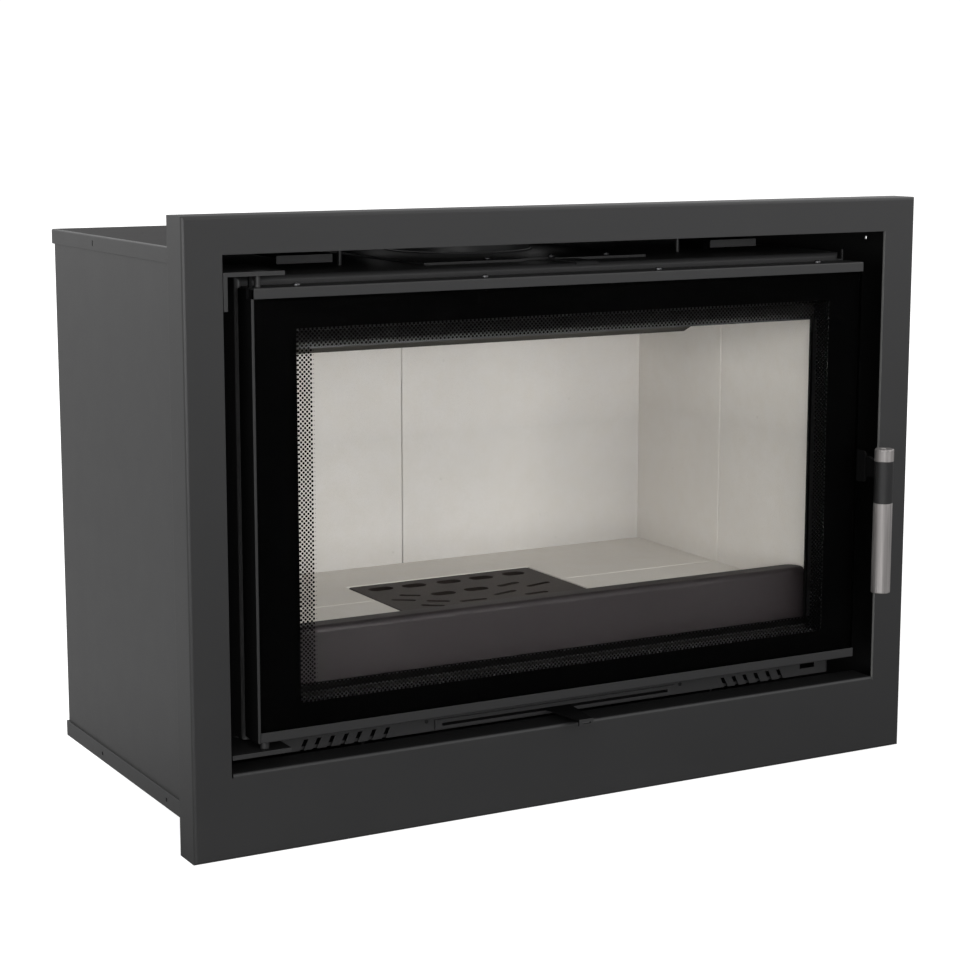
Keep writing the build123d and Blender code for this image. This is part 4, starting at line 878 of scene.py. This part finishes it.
# ---- weld beads ---------------------------------------------------------------------
B = Build()
for s in (-1, 1):
    bead(B, V(s * 334.3, 396.0, 81.0), V(s * 334.3, 396.0, 520.5), 0.0016, (s, 0, 0), seed=s + 2)
bead(B, V(-333.0, 396.0, 521.6), V(333.0, 396.0, 521.6), 0.0016, (0, 0, 1), seed=9)
bead_ring(B, V(0, 240.0, 524.6), 0.0752, 0.0016, seed=3)
bead(B, V(-303.9, 61.0, 521.9), V(-303.9, 85.0, 521.9), 0.0015, (1, 0, 1), seed=11)
bead(B, V(-333.0, 86.1, 521.9), V(-305.0, 86.1, 521.9), 0.0015, (0, 1, 1), seed=14)
bead(B, V(-334.5, 52.0, 96.5), V(-334.5, 61.0, 96.5), 0.0015, (-1, 0, 1), seed=12)
for s in (-1, 1):
    bead(B, V(s * 332.0, 50.0, 521.6), V(s * 332.0, 390.0, 521.6), 0.0013, (0, 0, 1), seed=20 + s)
B.make("weld_beads", M_STOVE, "insert_body", None, smooth=50)

# ---------------------------------------------------------------------------
# Studio
# ---------------------------------------------------------------------------
me = bpy.data.meshes.new("floor")
S = 12.0
me.from_pydata([(-S, -S, 0), (S, -S, 0), (S, S, 0), (-S, S, 0)], [], [(0, 1, 2, 3)])
floor = bpy.data.objects.new("floor", me)
bpy.context.scene.collection.objects.link(floor)
fm, nt, bs, out = mat_base("m_floor")
fv = coords(nt)
fn = noise(nt, fv, 3.0, 2.0)
fs = nt.nodes.new("ShaderNodeSeparateXYZ")
nt.links.new(fv, fs.inputs[0])
lean = math_node(nt, "SUBTRACT", math_node(nt, "MULTIPLY", fs.outputs[1], 0.875), math_node(nt, "MULTIPLY", fs.outputs[0], 0.485))
ftone = mix_col(nt, remap(nt, lean, -0.4, 0.62, 0.0, 1.0), (0.09, 0.09, 0.09), (0.44, 0.44, 0.44))
ftone = mix_col(nt, remap(nt, fs.outputs[0], 2.0, 7.0, 0.0, 1.0), ftone, (0.24, 0.24, 0.24))
nt.links.new(mix_col(nt, remap(nt, fn, 0.3, 0.7, 0, 0.06), ftone, (0.5, 0.5, 0.5)), bs.inputs["Base Color"])
bs.inputs["Roughness"].default_value = 0.9
bs.inputs["Specular IOR Level"].default_value = 0.1
bright = nt.nodes.new("ShaderNodeEmission")
bright.inputs[0].default_value = (1, 1, 1, 1)
bright.inputs[1].default_value = 0.95
add = nt.nodes.new("ShaderNodeAddShader")
nt.links.new(bs.outputs[0], add.inputs[0])
nt.links.new(bright.outputs[0], add.inputs[1])
lp = nt.nodes.new("ShaderNodeLightPath")
mx = nt.nodes.new("ShaderNodeMixShader")
nt.links.new(lp.outputs["Is Camera Ray"], mx.inputs[0])
nt.links.new(bs.outputs[0], mx.inputs[1])
nt.links.new(add.outputs[0], mx.inputs[2])
nt.links.new(mx.outputs[0], out.inputs[0])
me.materials.append(fm)

world = bpy.data.worlds.new("studio")
bpy.context.scene.world = world
world.use_nodes = True
nt = world.node_tree
nt.nodes.clear()
out = nt.nodes.new("ShaderNodeOutputWorld")
bg1 = nt.nodes.new("ShaderNodeBackground")
bg1.inputs[0].default_value = (1, 1, 1, 1)
bg1.inputs[1].default_value = 1.1
bg2 = nt.nodes.new("ShaderNodeBackground")
bg2.inputs[1].default_value = 0.80
tc = nt.nodes.new("ShaderNodeTexCoord")
sep = nt.nodes.new("ShaderNodeSeparateXYZ")
nt.links.new(tc.outputs["Generated"], sep.inputs[0])
side = nt.nodes.new("ShaderNodeValToRGB")
side.color_ramp.interpolation = "EASE"
el = side.color_ramp.elements
el[0].position, el[0].color = 0.0, (1.80, 1.80, 1.80, 1)
el[1].position, el[1].color = 1.0, (1.10, 1.10, 1.10, 1)
for pos, val in ((0.25, 1.66), (0.50, 0.80), (0.66, 0.70), (0.82, 1.62)):
    e = el.new(pos)
    e.color = (val, val, val, 1)
nt.links.new(remap(nt, sep.outputs[0], -1.0, 1.0, 0.0, 1.0), side.inputs[0])
grad = math_node(nt, "MULTIPLY", remap(nt, sep.outputs[2], -0.2, 0.9, 0.95, 1.10), side.outputs[0])
rear = math_node(nt, "MULTIPLY", remap(nt, sep.outputs[1], 0.2, 0.7, 0.0, 1.0), remap(nt, sep.outputs[0], -0.1, 0.3, 0.0, 0.46))
grad = math_node(nt, "MULTIPLY", grad, math_node(nt, "SUBTRACT", 1.0, rear))
comb = nt.nodes.new("ShaderNodeCombineColor")
for i in range(3):
    nt.links.new(grad, comb.inputs[i])
nt.links.new(comb.outputs[0], bg2.inputs[0])
lp = nt.nodes.new("ShaderNodeLightPath")
mx = nt.nodes.new("ShaderNodeMixShader")
nt.links.new(lp.outputs["Is Camera Ray"], mx.inputs[0])
nt.links.new(bg2.outputs[0], mx.inputs[1])
nt.links.new(bg1.outputs[0], mx.inputs[2])
nt.links.new(mx.outputs[0], out.inputs[0])


def area(name, loc, target, size, size_y, power, spread=180.0):
    ld = bpy.data.lights.new(name, "AREA")
    ld.shape = "RECTANGLE"
    ld.size = size
    ld.size_y = size_y
    ld.energy = power
    ld.spread = math.radians(spread)
    lo = bpy.data.objects.new(name, ld)
    lo.location = loc
    d = Vector(target) - Vector(loc)
    lo.rotation_euler = d.to_track_quat("-Z", "Y").to_euler()
    bpy.context.scene.collection.objects.link(lo)
    return lo


key = area("key_front", (0.05, -2.8, 0.80), (0.0, 0.1, 0.3), 2.6, 1.5, 100)
key.visible_glossy = False
side_box = area("box_left", (-2.6, -1.6, 0.42), (0.0, -0.1, 0.2), 1.3, 1.2, 22)
side_box.visible_camera = False
eye_box = area("box_front_left", (-1.45, -3.0, 0.75), (-0.1, -0.1, 0.3), 1.2, 1.4, 22)
eye_box.visible_camera = False
eye_box.visible_diffuse = False
top_box = area("box_back", (-0.6, 3.0, 2.2), (-0.1, 0.1, 0.5), 2.2, 1.0, 10)
top_box.visible_camera = False
